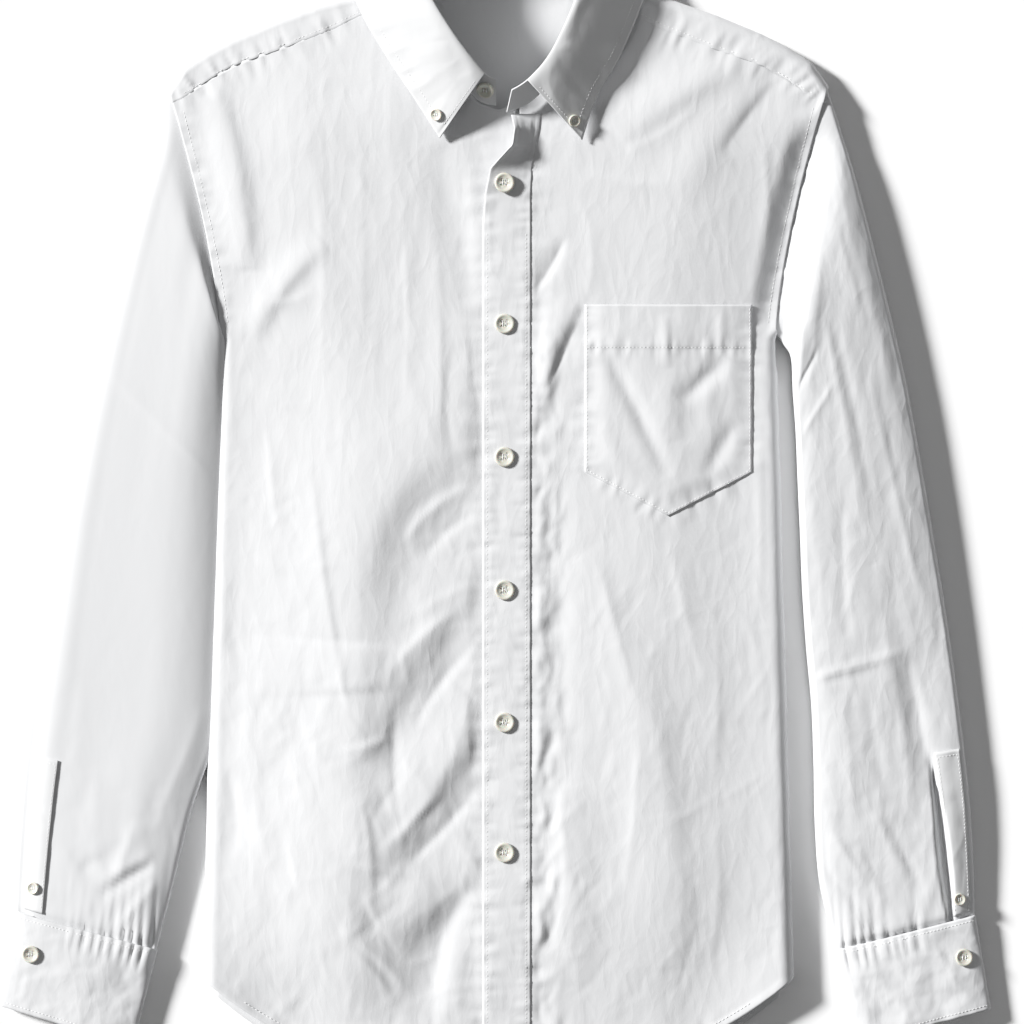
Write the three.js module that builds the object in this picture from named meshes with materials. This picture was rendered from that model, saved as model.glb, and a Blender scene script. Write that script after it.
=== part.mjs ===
// A long-sleeved poplin shirt, laid on its back with the sides folded under, as a scene graph of cut and
// sewn pieces. Millimetres, +Z up, +Y towards the collar, +X towards the wearer's left side.

import * as THREE from 'three';

const { clamp, lerp, smoothstep } = THREE.MathUtils;

// ---- Driving dimensions ----

const WALL = 1.0; // one layer of cloth
const SEAM_GAP = 0.3; // between two pieces where they are sewn
const LIFT = WALL + SEAM_GAP; // a piece sewn on a panel lies this far above it
const STRIP_LIFT = LIFT + 0.9; // a sleeve's strip lies this high over its sleeve
const PATCH_LIFT = LIFT + 0.6; // the pocket and the collar's points lie this high over the folds of a front
const FLOOR_Z = WALL / 2; // middle of a wall that rests on the floor

const UNDERARM_Y = 125; // where the side edge meets the armhole
const CHEST_HALF = 195; // half of the width that shows at the underarm
const EDGE_SPREAD = 0.027; // how much that half width grows for each millimetre towards the hem
const SHOULDER_RISE = 168; // from the underarm up to the shoulder point
const SHOULDER_OUT = 35; // how far the shoulder point stands outside the underarm
const FLAP = 45; // cloth folded under at each side, as far as the side seam

const EDGE_HALF = 9; // half axes of the rolled side edge
const EDGE_TOP = 15; // height of the front beside the rolled edge
const MIDDLE_TOP = 21; // height of the front in the middle
const HEM_DROP = 8; // the front lies this much lower at its hem
const SWELL = 95; // the front reaches its full height this far from an edge
const SHOULDER_HALF = 8; // half depth of the fold over the shoulder

const FRONT_HEM_Y = -398;
const BACK_HEM_Y = -408;
const SIDE_HEM_Y = -278; // hem at the side seams
const HEM_POWER = 2.46; // curve of the shirt tail
const CENTRE_NECK_Y = 281;
const SHOULDER_SEAM_END_Y = 288;
const BACK_YOKE_Y = 262; // seam of yoke and back

const BUTTON_LINE_X = 4.6;
const BUTTON_R = 7;
const SMALL_BUTTON_R = 4.4;
const CUFF_BUTTON_R = 6.2;
const BUTTON_SIDES = 11;
const BUTTON_H = 2.6;
const SMALL_BUTTON_H = 2;
const THREAD_GAP = SEAM_GAP + 0.15; // under a button
const BUTTON_SEAT = 0.55; // from the middle of a curved wall to the underside of its button
const FRONT_BUTTONS_Y = [230, 131.6, 38.5, -54.6, -147, -238]; // from the first one under the collar

const PLACKET_LEFT = -10.8;
const PLACKET_RIGHT = 23.2;
const PLACKET_MIDDLE = (PLACKET_LEFT + PLACKET_RIGHT) / 2;
const PLACKET_STIFFNESS = 0.2; // share of the folds' height that is left under it

// ---- Cloth that lies on the front: long soft folds, each along one bent line ----

const folds = [
  // fromX, fromY, bendX, bendY, toX, toY, width on the left and on the right hand of its way, height
  [-12, 46, -112, 44, -98, -126, 22, 58, 5],
  [-6, -52, -47, -61, -100, -172, 13, 32, 3.2],
  [-6, -142, -44, -181, -88, -254, 13, 32, 4],
  [-6, -246, -35, -265, -79, -296, 13, 28, 3.2],
  [-99, -92, -108, -209, -106, -356, 24, 70, 5.6],
  [-10, -253, -52, -286, -48, -368, 9, 24, -3.8],
  [-202, 302, -181, 256, -175, 169, 9, 16, 3.4],
  [-121, 188, -150, 166, -174, 122, 8, 12, 2.4],
  [-42, 256, -30, 200, -14, 136, 12, 12, -1.6],
  [-172, -120, -176, -200, -198, -285, 14, 14, 1.2],
  [175, 316, 128, 296, 84, 262, 11, 16, 2],
  [188, 304, 160, 276, 124, 218, 12, 16, 1],
  [60, 145, 40, 110, 27, 61, 9, 14, 1.8],
  [40, 30, 44, -60, 38, -200, 10, 10, -1.6],
  [58, -30, 118, -120, 128, -320, 13, 28, 1.6],
  [52, -190, 60, -250, 48, -330, 13, 13, 1.4],
];

const foldLines = folds.map(([fromX, fromY, bendX, bendY, toX, toY, leftWidth, rightWidth, height]) => ({
  points: new THREE.QuadraticBezierCurve(
    new THREE.Vector2(fromX, fromY), new THREE.Vector2(bendX, bendY), new THREE.Vector2(toX, toY),
  ).getPoints(12),
  leftWidth,
  rightWidth,
  height,
}));

function foldRelief(x, y) {
  let relief = 0;
  for (const { points, leftWidth, rightWidth, height } of foldLines) {
    let nearest = Infinity;
    let along = 0;
    points.forEach((point, index) => {
      const distance = Math.hypot(x - point.x, y - point.y);
      if (distance < nearest) {
        nearest = distance;
        along = index;
      }
    });
    const last = points.length - 1;
    const from = points[Math.max(along - 1, 0)];
    const to = points[Math.min(along + 1, last)];
    const onLeft = (to.x - from.x) * (y - from.y) - (to.y - from.y) * (x - from.x) > 0;
    const fade = Math.sqrt(Math.max(0, Math.sin(Math.PI * clamp(along / last, 0.04, 0.96))));
    relief += height * fade * Math.exp(-((nearest / (onLeft ? leftWidth : rightWidth)) ** 2));
  }
  return relief;
}

// ---- Outlines ----

function readTable(table, key) {
  const last = table.length - 1;
  if (key <= table[0][0]) return table[0][1];
  if (key >= table[last][0]) return table[last][1];
  const row = table.findIndex(([at]) => at > key);
  const [fromKey, fromValue] = table[row - 1];
  const [toKey, toValue] = table[row];
  return lerp(fromValue, toValue, (key - fromKey) / (toKey - fromKey));
}

const halfWidth = (y) => CHEST_HALF + (UNDERARM_Y - y) * EDGE_SPREAD;

function armholeX(y) {
  const up = Math.max(0, y - UNDERARM_Y) / SHOULDER_RISE;
  return CHEST_HALF + SHOULDER_OUT * up ** 1.3;
}

// distance from the middle of the shirt, y of the fold along the shoulder
const shoulderFold = [
  [0, 376], [62, 374], [80, 370], [100, 364], [124, 358], [150, 348],
  [178, 335], [195, 326], [213, 315], [230, 297],
];
const shoulderY = (x) => readTable(shoulderFold, Math.abs(x));

// distance from the middle, y of the neckline and then of the seam of front and yoke
const frontTop = [
  [0, CENTRE_NECK_Y], [14, 286], [27, 300], [41, 323], [50, 343], [56, 361], [80, 356], [97, 349],
  [115, 340], [150, 326], [183, 314], [204, 302], [217, 293], [229, SHOULDER_SEAM_END_Y],
];
const frontTopY = (x) => readTable(frontTop, Math.abs(x));

const EDGE_ROLL = Math.PI * (EDGE_HALF + (EDGE_TOP - FLOOR_Z) / 2) / 2; // cloth round the rolled edge
const SIDE_LENGTH = CHEST_HALF - EDGE_HALF + EDGE_ROLL + FLAP; // cloth from the middle to the side seam
const hemY = (distance, middle) =>
  middle + (SIDE_HEM_Y - middle) * (Math.min(distance, SIDE_LENGTH) / SIDE_LENGTH) ** HEM_POWER;

// ---- Height of the front, yoke front and pocket ----

const ARMHOLE_DROP = 5; // the wearer's left front falls off this far just inside its armhole seam

function armholeDrop(x, y) {
  const beside = smoothstep(x, armholeX(y) - 22, armholeX(y) - 4);
  const below = 1 - smoothstep(y, 250, 278);
  return ARMHOLE_DROP * beside * below * smoothstep(y, UNDERARM_Y - 8, UNDERARM_Y + 25);
}

function frontHeight(x, y) {
  const fromSide = halfWidth(y) - EDGE_HALF - Math.abs(x) + Math.max(0, y - 95) * 0.25;
  const fromShoulder = shoulderY(x) - SHOULDER_HALF - y;
  const fromHem = y - hemY(Math.abs(x), FRONT_HEM_Y);
  const rise = smoothstep(fromSide, 0, SWELL) * smoothstep(fromShoulder, -10, SWELL);
  const stiff = lerp(PLACKET_STIFFNESS, 1, smoothstep(Math.abs(x - PLACKET_MIDDLE), 22, 38));
  const inside = smoothstep(fromSide, 2, 30) * smoothstep(fromShoulder, 2, 26) * smoothstep(fromHem, 4, 60);
  const drop = HEM_DROP * (1 - smoothstep(fromHem, 0, 130)) * smoothstep(fromSide, -5, 70);
  const height = EDGE_TOP + (MIDDLE_TOP - EDGE_TOP) * rise - drop + foldRelief(x, y) * stiff * inside;
  return height - armholeDrop(x, y);
}

// ---- Walls from grids of points ----

// Closes a wall round a grid of points on its middle surface. around joins the last column to the first.
function wallFromGrid(grid, thickness = WALL, around = false) {
  const rows = grid.length;
  const columns = grid[0].length;
  const at = (row, column) => grid[row][around ? (column + columns) % columns : column];
  const side = (sign) => grid.flatMap((line, row) => line.map((point, column) => {
    const nextColumn = around ? column + 1 : Math.min(column + 1, columns - 1);
    const pastColumn = around ? column - 1 : Math.max(column - 1, 0);
    const across = at(row, nextColumn).clone().sub(at(row, pastColumn));
    const along = at(Math.min(row + 1, rows - 1), column).clone().sub(at(Math.max(row - 1, 0), column));
    const normal = across.cross(along).normalize();
    return point.clone().addScaledVector(normal, sign * thickness / 2);
  }));
  const vertices = [...side(1), ...side(-1)];
  const inner = rows * columns;
  const triangles = [];
  const quad = (a, b, c, d) => triangles.push(a, b, c, a, c, d);
  const index = (row, column) => row * columns + (column % columns);
  const spans = around ? columns : columns - 1;
  for (let row = 0; row < rows - 1; row += 1) {
    for (let column = 0; column < spans; column += 1) {
      const [a, b] = [index(row, column), index(row, column + 1)];
      const [c, d] = [index(row + 1, column + 1), index(row + 1, column)];
      quad(a, b, c, d);
      quad(inner + a, inner + d, inner + c, inner + b);
    }
  }
  for (let column = 0; column < spans; column += 1) {
    const [a, b] = [index(0, column), index(0, column + 1)];
    const [c, d] = [index(rows - 1, column), index(rows - 1, column + 1)];
    quad(a, inner + a, inner + b, b);
    quad(d, inner + d, inner + c, c);
  }
  if (!around) {
    for (let row = 0; row < rows - 1; row += 1) {
      const [a, b] = [index(row, 0), index(row + 1, 0)];
      const [c, d] = [index(row, columns - 1), index(row + 1, columns - 1)];
      quad(b, inner + b, inner + a, a);
      quad(c, inner + c, inner + d, d);
    }
  }
  const geometry = new THREE.BufferGeometry().setFromPoints(vertices);
  geometry.setIndex(signedVolume(vertices, triangles) < 0 ? triangles.reverse() : triangles);
  geometry.computeVertexNormals();
  return geometry;
}

function signedVolume(vertices, triangles) {
  let volume = 0;
  for (let corner = 0; corner < triangles.length; corner += 3) {
    const [a, b, c] = [0, 1, 2].map((step) => vertices[triangles[corner + step]]);
    volume += a.dot(b.clone().cross(c)) / 6;
  }
  return volume;
}

function gridOf(rows, columns, pointAt) {
  return Array.from({ length: rows + 1 }, (_, row) =>
    Array.from({ length: columns + 1 }, (__, column) => pointAt(row / rows, column / columns, row, column)));
}

// ---- Laying: where a point of the flat cloth comes to lie ----

// distance runs over the front, round the rolled side edge and in again on the floor.
function layFront(distance, y) {
  const overEdge = smoothstep(y, UNDERARM_Y - 5, UNDERARM_Y + 15);
  const edgeX = halfWidth(y);
  const rollStart = lerp(edgeX - EDGE_HALF, armholeX(y) + 15, overEdge);
  if (distance <= rollStart) return [distance, null];
  const top = frontHeight(rollStart, y);
  const rollHeight = (top - FLOOR_Z) / 2;
  const rollLength = Math.PI * (EDGE_HALF + rollHeight) / 2;
  const past = distance - rollStart;
  if (past <= rollLength) {
    const turn = Math.PI * past / rollLength;
    return [rollStart + EDGE_HALF * Math.sin(turn), FLOOR_Z + rollHeight * (1 + Math.cos(turn))];
  }
  return [rollStart - (past - rollLength), FLOOR_Z];
}

// The back lies inside the front: over the flap, round and in again on it. Beside the underarm its own
// flap ends, and it comes down to the floor and runs out to the armhole.
const BACK_EDGE = 11.5; // its fold lies this far inside the rolled edge
const BACK_EDGE_MORE = 14; // and this much further where the front's flap ends
const BACK_FLAP_Z = FLOOR_Z + LIFT;
const BACK_TURN = 1.4; // half the height of its fold
const RISE_FROM = 16; // it leaves the floor this far inside the edge of the front's flap
const RISE_TO = 3; // and lies on the flap's height from here on
const backComesDown = (y) => smoothstep(y, UNDERARM_Y - 28, UNDERARM_Y - 3);

function backEdgeX(y) {
  const inside = BACK_EDGE + BACK_EDGE_MORE * smoothstep(y, UNDERARM_Y - 85, UNDERARM_Y - 55);
  return halfWidth(y) - inside;
}

function layBack(distance, y) {
  const down = backComesDown(y);
  const turnX = lerp(backEdgeX(y), armholeX(y) + 5, down);
  const seamX = halfWidth(y) - EDGE_HALF - FLAP;
  const upZ = FLOOR_Z + (BACK_FLAP_Z - FLOOR_Z + 2 * BACK_TURN) * (1 - down);
  if (distance <= turnX) {
    return [distance, lerp(FLOOR_Z, upZ, smoothstep(distance, seamX - RISE_FROM, seamX - RISE_TO))];
  }
  const past = distance - turnX;
  const turnLength = Math.PI * BACK_TURN;
  if (past <= turnLength) {
    const turn = past / BACK_TURN;
    return [turnX + BACK_TURN * Math.sin(turn), BACK_FLAP_Z + BACK_TURN * (1 + Math.cos(turn))];
  }
  return [turnX - (past - turnLength), BACK_FLAP_Z];
}

// ---- Fronts ----

const TOP_COLUMNS = 13;
const ROLL_COLUMNS = 5;
const FLAP_COLUMNS = 2;
const SIDE_COLUMNS = ROLL_COLUMNS + FLAP_COLUMNS;
const FRONT_ROWS = 28;
const FRONT_LEFT_START = 15; // the inner edges of both fronts, under the placket
const FRONT_RIGHT_START = -13;
const ARMHOLE_SHARE = 0.8; // share of the width that the wide columns keep beside the armhole

// Distance over the cloth of one column, below and beside the armhole.
function frontDistance(column, y, start) {
  const rollStart = halfWidth(y) - EDGE_HALF;
  const armhole = armholeX(y) - start;
  let below;
  let beside;
  if (column <= TOP_COLUMNS) {
    below = lerp(start, rollStart, column / TOP_COLUMNS);
    beside = start + armhole * ARMHOLE_SHARE * column / TOP_COLUMNS;
  } else {
    const step = column - TOP_COLUMNS;
    below = step <= ROLL_COLUMNS
      ? rollStart + EDGE_ROLL * step / ROLL_COLUMNS
      : rollStart + EDGE_ROLL + FLAP * (step - ROLL_COLUMNS) / FLAP_COLUMNS;
    beside = start + armhole * lerp(ARMHOLE_SHARE, 1, step / SIDE_COLUMNS);
  }
  return lerp(below, beside, smoothstep(y, UNDERARM_Y - 60, UNDERARM_Y - 25));
}

// side is 1 for the wearer's left front and -1 for the right. start is where its inner edge lies.
function frontPoint(side, start, up, column) {
  const outerY = lerp(SIDE_HEM_Y, SHOULDER_SEAM_END_Y, up);
  const distance = frontDistance(column, outerY, start);
  const total = frontDistance(TOP_COLUMNS + SIDE_COLUMNS, outerY, start);
  const out = clamp(distance / total, 0, 1);
  const middleY = lerp(FRONT_HEM_Y, CENTRE_NECK_Y, up);
  const reach = Math.abs(distance);
  const hemShape = hemY(reach, FRONT_HEM_Y) - lerp(FRONT_HEM_Y, SIDE_HEM_Y, out);
  const topShape = frontTopY(reach) - lerp(CENTRE_NECK_Y, SHOULDER_SEAM_END_Y, out);
  const y = lerp(middleY, outerY, out) + hemShape * (1 - up) ** 3 + topShape * up ** 3;
  const [x, z] = layFront(distance, y);
  return new THREE.Vector3(side * x, y, z ?? frontHeight(side * x, y));
}

function front(side, start) {
  return wallFromGrid(gridOf(FRONT_ROWS, TOP_COLUMNS + SIDE_COLUMNS, (up, _, row, column) =>
    frontPoint(side, start, up, column)));
}

// ---- Back ----

const BACK_RUN = 9;
const RISE_COLUMNS = 4; // those of them that lie over the flap
const BACK_TURN_COLUMNS = 3;
const BACK_COLUMNS = BACK_RUN + BACK_TURN_COLUMNS + 1;
const BACK_ROWS = 14;

function backDistance(column, y) {
  const turnX = backEdgeX(y);
  const seamX = halfWidth(y) - EDGE_HALF - FLAP;
  const wide = BACK_RUN - RISE_COLUMNS;
  let below;
  if (column <= wide) below = (seamX - RISE_FROM) * column / wide;
  else if (column <= BACK_RUN) {
    below = lerp(seamX - RISE_FROM, turnX, ((column - wide) / RISE_COLUMNS) ** 1.3);
  }
  else if (column <= BACK_RUN + BACK_TURN_COLUMNS) {
    below = turnX + Math.PI * BACK_TURN * (column - BACK_RUN) / BACK_TURN_COLUMNS;
  } else below = turnX + Math.PI * BACK_TURN + (turnX - seamX);
  const beside = lerp(turnX - 1, armholeX(y), backComesDown(y)) * column / BACK_COLUMNS;
  return lerp(below, beside, smoothstep(y, UNDERARM_Y - 100, UNDERARM_Y - 55));
}

function back() {
  return wallFromGrid(gridOf(BACK_ROWS, 2 * BACK_COLUMNS, (up, _, row, column) => {
    const side = Math.sign(column - BACK_COLUMNS);
    const step = Math.abs(column - BACK_COLUMNS);
    const outerY = lerp(SIDE_HEM_Y, BACK_YOKE_Y - SEAM_GAP, up);
    const distance = backDistance(step, outerY);
    const out = distance / backDistance(BACK_COLUMNS, outerY);
    const hemShape = hemY(distance, BACK_HEM_Y) - lerp(BACK_HEM_Y, SIDE_HEM_Y, out);
    const middleY = lerp(BACK_HEM_Y, BACK_YOKE_Y - SEAM_GAP, up);
    const y = lerp(middleY, outerY, out) + hemShape * (1 - up) ** 3;
    const [x, z] = layBack(distance, y);
    return new THREE.Vector3(side * x, y, z);
  }));
}

// ---- Yoke: from its back seam over the shoulders to the seams of the fronts ----

const YOKE_ROWS = { back: 3, roll: 5, strip: 2 };
const NECK_HALF = 56; // where the seam of front and yoke meets the neckline
const neckColumns = [18, 34, 44, 50, 53, NECK_HALF];
const NECK_SETBACK = 30; // how far its edge would be set back behind the neck at a reach of -1
const NECK_GATHER = 0.2; // share of its back rows' length that is drawn up where it stops at the neck

// distance from the middle, share of the whole way over the shoulder that the yoke reaches
const yokeReach = [[0, -0.2], [34, 0], [44, 0.08], [50, 0.2], [53, 0.55], [NECK_HALF, 1], [229, 1]];

function yokePoint(side, x, row) {
  const foldY = shoulderY(x);
  const top = frontHeight(side * x, foldY - SHOULDER_HALF);
  const rollHeight = (top - FLOOR_Z) / 2;
  const rollLength = Math.PI * (SHOULDER_HALF + rollHeight) / 2;
  const backRun = foldY - SHOULDER_HALF - BACK_YOKE_Y;
  const strip = foldY - SHOULDER_HALF - frontTopY(x) - SEAM_GAP;
  const reach = readTable(yokeReach, x);
  const over = reach < 0 ? 0 : reach * (rollLength + strip);
  const backLength = backRun + (reach < 0 ? reach * NECK_SETBACK : 0);
  const { back: backRows, roll, strip: stripRows } = YOKE_ROWS;
  const overRows = roll + stripRows;
  let length;
  if (row <= backRows) length = backLength * row / backRows;
  else {
    const step = row - backRows;
    const full = step <= roll ? rollLength * step / roll : rollLength + strip * (step - roll) / stripRows;
    length = backLength * (1 - NECK_GATHER * (1 - clamp(reach, 0, 1)) * (1 - step / overRows))
      + full * over / (rollLength + strip);
    if (reach < 1) length = Math.max(length, backLength * (1 + 0.002 * step));
  }
  let y;
  let z;
  if (length <= backRun) {
    y = BACK_YOKE_Y + length;
    z = FLOOR_Z;
  } else if (length <= backRun + rollLength) {
    const turn = Math.PI * (length - backRun) / rollLength;
    y = foldY - SHOULDER_HALF + SHOULDER_HALF * Math.sin(turn);
    z = FLOOR_Z + rollHeight * (1 - Math.cos(turn));
  } else {
    y = foldY - SHOULDER_HALF - (length - backRun - rollLength);
    z = frontHeight(side * x, y);
  }
  const outer = lerp(1, armholeX(y) / armholeX(SHOULDER_SEAM_END_Y), smoothstep(x, 110, 228));
  return new THREE.Vector3(side * x * outer, y, z);
}

// Beyond the neck the yoke has the columns of the front that it is sewn to.
function yokeColumns(frontStart) {
  const columns = Array.from({ length: TOP_COLUMNS + SIDE_COLUMNS + 1 }, (_, column) =>
    frontDistance(column, SHOULDER_SEAM_END_Y, frontStart));
  return [...neckColumns, ...columns.filter((x) => x > NECK_HALF + 1)];
}

function yoke() {
  const rows = YOKE_ROWS.back + YOKE_ROWS.roll + YOKE_ROWS.strip;
  const stations = [
    ...yokeColumns(FRONT_RIGHT_START).map((x) => [-1, x]).reverse(),
    [1, 0],
    ...yokeColumns(FRONT_LEFT_START).map((x) => [1, x]),
  ];
  return wallFromGrid(Array.from({ length: rows + 1 }, (_, row) =>
    stations.map(([side, x]) => yokePoint(side, x, row))));
}

// ---- Sleeves ----

// outX, outY, inX, inY: both edges of the flattened tube at each section, from the armhole to the cuff
const leftSleeveSections = [
  [-232.1, 297.5, -195.9, 126], [-238, 275, -196.8, 118], [-248, 245, -197.4, 104], [-260, 203, -198.2, 82],
  [-272, 155, -198.8, 57], [-284, 105, -199.6, 26], [-296, 50, -200.6, -13], [-306, -1, -201.7, -55],
  [-314, -55, -202.8, -97], [-322, -104, -204.0, -135], [-329, -153, -205.4, -176], [-333, -195, -216, -212],
  [-336, -237, -227, -257], [-338.1, -282.8, -240.1, -308.7],
];
const rightSleeveSections = [
  [232.1, 297.5, 195.9, 126], [240, 268, 200, 118], [251, 232, 205.6, 108], [262, 190, 207, 84],
  [273, 146, 209, 56], [285, 95, 210.4, 22], [296, 36, 212, -14], [305, -17, 213.6, -55],
  [313, -66, 216.4, -96], [320, -114, 220, -136], [326, -162, 221.6, -178], [330.5, -204, 222.4, -218],
  [333, -245, 226, -262], [334, -285, 238, -309],
];

// height of the tube's upper side across it, from its outer edge to the body, and in rows by the share of
// its length: long folds run down it where the heights swing
const acrossShares = [0.03, 0.12, 0.22, 0.32, 0.44, 0.56, 0.68, 0.8, 0.9, 0.97];
const leftSleeveHeights = [
  [0, [10, 14.5, 16, 17, 18, 18.5, 19.5, 20, 19, 15]],
  [0.12, [10, 14.8, 16, 17, 18, 18.5, 19.5, 20.2, 19.5, 15]],
  [0.3, [10.5, 15.2, 16, 16.6, 17.2, 18.2, 19, 19.2, 17.5, 13]],
  [0.5, [10.5, 14.8, 15.2, 15.6, 16, 17, 17.8, 17.6, 15.5, 12]],
  [0.7, [9.5, 13.2, 13.8, 14.2, 14.8, 15.4, 16, 15.2, 13.4, 11]],
  [0.85, [8.5, 12, 12.8, 13.2, 13.8, 14.6, 15, 14, 12.6, 11]],
  [1, [8, 11.2, 12.2, 12.8, 13, 13, 13, 12.8, 12.4, 10]],
];
const rightSleeveHeights = [
  [0, [13, 17, 19, 20, 20.5, 20, 17, 13, 12, 10]],
  [0.07, [13, 17, 19, 20, 21, 21.5, 20, 16, 13, 11]],
  [0.14, [13, 17.5, 20, 21.5, 23, 24.5, 25.5, 25.5, 24.5, 21]],
  [0.25, [13.5, 18, 20.4, 22, 23.2, 24.2, 24.8, 25.2, 25.2, 24.6]],
  [0.38, [13, 16.6, 19, 21.2, 23, 24, 24.6, 25, 25, 24.4]],
  [0.5, [12.4, 15.4, 17.6, 20, 21.8, 23, 23.6, 24, 24, 23.2]],
  [0.7, [10, 12.8, 13.4, 15, 17.6, 19.4, 20.2, 20.6, 20.4, 19.6]],
  [0.85, [9.5, 12.4, 13.6, 14.6, 16.4, 17.6, 18.2, 18.6, 18.4, 17]],
  [1, [9, 12.2, 12.8, 13.2, 13.6, 13.8, 13.8, 13.6, 13, 11]],
];
const SLEEVE_ROWS = 22;
const SLEEVE_SIDES = 20;
const ARMHOLE_GAP = 0.9;
const TUBE_MIDDLE = 6.5; // height of the tube's outermost points
const EDGE_LEAN = 0.36; // its edges are rounded up to this turn out of the level
const TUBE_FLATTENED = 1.3; // how far its underside would sag if the floor didn't hold it

// A smooth value of one column between the sections of a table.
function sectionValue(sections, share, column) {
  const last = sections.length - 1;
  const place = clamp(share, 0, 1) * last;
  const row = Math.min(Math.floor(place), last - 1);
  const value = (index) => sections[clamp(index, 0, last)][column];
  const [before, from, to, after] = [value(row - 1), value(row), value(row + 1), value(row + 2)];
  const part = place - row;
  const pull = (to - before) / 2;
  const push = (after - from) / 2;
  return from + part * (pull + part * (3 * (to - from) - 2 * pull - push
    + part * (2 * (from - to) + pull + push)));
}

function sleeveHeight(side, share, across) {
  const table = side < 0 ? leftSleeveHeights : rightSleeveHeights;
  return readTable(table.map(([at, heights]) =>
    [at, readTable(acrossShares.map((from, column) => [from, heights[column]]), across)]), share);
}

// share runs from the armhole to the cuff, around once round the tube from its outer edge over the top.
function sleevePoint(side, share, around) {
  const sections = side < 0 ? leftSleeveSections : rightSleeveSections;
  const [outX, outY, inX, inY] = [0, 1, 2, 3].map((column) => sectionValue(sections, share, column));
  const angle = 2 * Math.PI * around;
  const nearSeam = 1 - smoothstep(share, 0, 0.16);
  const across = (1 - Math.sign(Math.cos(angle)) * Math.abs(Math.cos(angle)) ** 0.9) / 2;
  const y = lerp(outY, inY, across);
  const seamX = (atY) => side * (armholeX(atY) + ARMHOLE_GAP);
  const bow = seamX(y) - lerp(seamX(outY), seamX(inY), across);
  const x = lerp(outX, inX, across) + bow * nearSeam ** 3;
  const lean = Math.abs(Math.sin(angle));
  if (Math.sin(angle) < 0) {
    const low = TUBE_MIDDLE - (TUBE_MIDDLE - FLOOR_Z) * TUBE_FLATTENED * lean ** lerp(0.6, 0.2, nearSeam);
    return new THREE.Vector3(x, y, Math.max(FLOOR_Z, low));
  }
  const seamTop = frontHeight(side * armholeX(y), y);
  const top = lerp(sleeveHeight(side, share, across), seamTop, nearSeam ** 2);
  const rounded = Math.min(1, lean / EDGE_LEAN) ** lerp(0.5, 0.16, nearSeam ** 2);
  return new THREE.Vector3(x, y, TUBE_MIDDLE + (top - TUBE_MIDDLE) * rounded);
}

function sleeve(side) {
  return wallFromGrid(
    Array.from({ length: SLEEVE_ROWS + 1 }, (_, row) =>
      Array.from({ length: SLEEVE_SIDES }, (__, column) =>
        sleevePoint(side, row / SLEEVE_ROWS, (column + 0.5) / SLEEVE_SIDES))),
    WALL, true,
  );
}

// ---- Cuffs: bands wound once round, the buttoned end on top ----

// outX, outY, inX, inY, height at the sleeve and at the free edge
const cuffEnds = {
  left: [[-338.6, -284.2, -239.9, -310.3, 13.5], [-348.6, -346.5, -256.4, -373.8, 12]],
  right: [[334.5, -286.4, 238, -310.6, 14.5], [345.1, -348.6, 252, -373.1, 12.5]],
};
const CUFF_ROWS = 3;
const CUFF_SIDES = 26;
const CUFF_WALL = 1.4;
const CUFF_START = -0.03; // where round the wrist the band's upper end lies, at the outer edge
const CUFF_LAP = 0.14; // share of the way round that its other end runs on under it

function cuffPoint(side, share, around) {
  const [from, to] = side < 0 ? cuffEnds.left : cuffEnds.right;
  const [outX, outY, inX, inY, height] = from.map((value, column) => lerp(value, to[column], share));
  const angle = 2 * Math.PI * (CUFF_START + around * (1 + CUFF_LAP));
  const lapped = smoothstep(around, 0.7, 1 - 1.1 * CUFF_LAP) * (CUFF_WALL + 2 * SEAM_GAP);
  const across = (1 - Math.cos(angle)) / 2;
  const middle = (height + CUFF_WALL) / 2;
  const flat = middle - CUFF_WALL / 2; // from there down to where the underside rests
  const reach = Math.sin(angle) < 0
    ? Math.min(flat, flat * TUBE_FLATTENED * Math.abs(Math.sin(angle)) ** 0.7)
    : (height - middle) * Math.abs(Math.sin(angle)) ** 0.7;
  const inward = Math.sign(inX - outX) * lapped * Math.cos(angle);
  return new THREE.Vector3(
    lerp(outX, inX, across) + inward,
    lerp(outY, inY, across),
    middle + Math.sign(Math.sin(angle)) * (reach - lapped * Math.abs(Math.sin(angle)) ** 0.5),
  );
}

function cuff(side) {
  return wallFromGrid(gridOf(CUFF_ROWS, CUFF_SIDES, (share, around) => cuffPoint(side, share, around)),
    CUFF_WALL);
}

// ---- Collar ----

// topX, topY, topZ, neckX, neckY, neckZ: the stand's upper and lower edge, from the wearer's right front
// round the back to the left front
const standSections = [
  [-1.5, 301, 35, -1.5, 284, 24.6], [-9.1, 305.2, 38, -12.6, 287, 24.2], [-20.3, 318.5, 42, -26.6, 301, 23.6],
  [-32.9, 335.3, 45, -39.6, 325, 22.6], [-47, 358.4, 46, -52, 350, 20.8], [-54, 376, 42, -53.6, 371, 17.8],
  [-43, 385.5, 34, -46, 374.4, 8.4], [-24, 389, 28, -26, 367, 3.4], [4, 390, 26, 3, 361, 2.4],
  [32, 389, 28, 31, 367, 3.4], [50, 385.5, 34, 47, 374.4, 8.4], [59, 376, 42, 54.4, 371, 17.8],
  [54.6, 358.4, 46, 54, 350, 20.8], [44.1, 333.2, 46, 46, 325, 22.6], [33.6, 315, 44, 36, 301, 24],
  [20.3, 300.3, 42, 22, 286, 25.6], [9.6, 293.6, 40, 6, 279, 26.6],
];
const STAND_COLUMNS = 28;
const STAND_ROWS = 2;
const STAND_WALL = 1.2;

function standPoint(share, up) {
  const [topX, topY, topZ, neckX, neckY, neckZ] = [0, 1, 2, 3, 4, 5].map((column) =>
    sectionValue(standSections, share, column));
  return new THREE.Vector3(lerp(neckX, topX, up), lerp(neckY, topY, up), lerp(neckZ, topZ, up));
}

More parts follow.
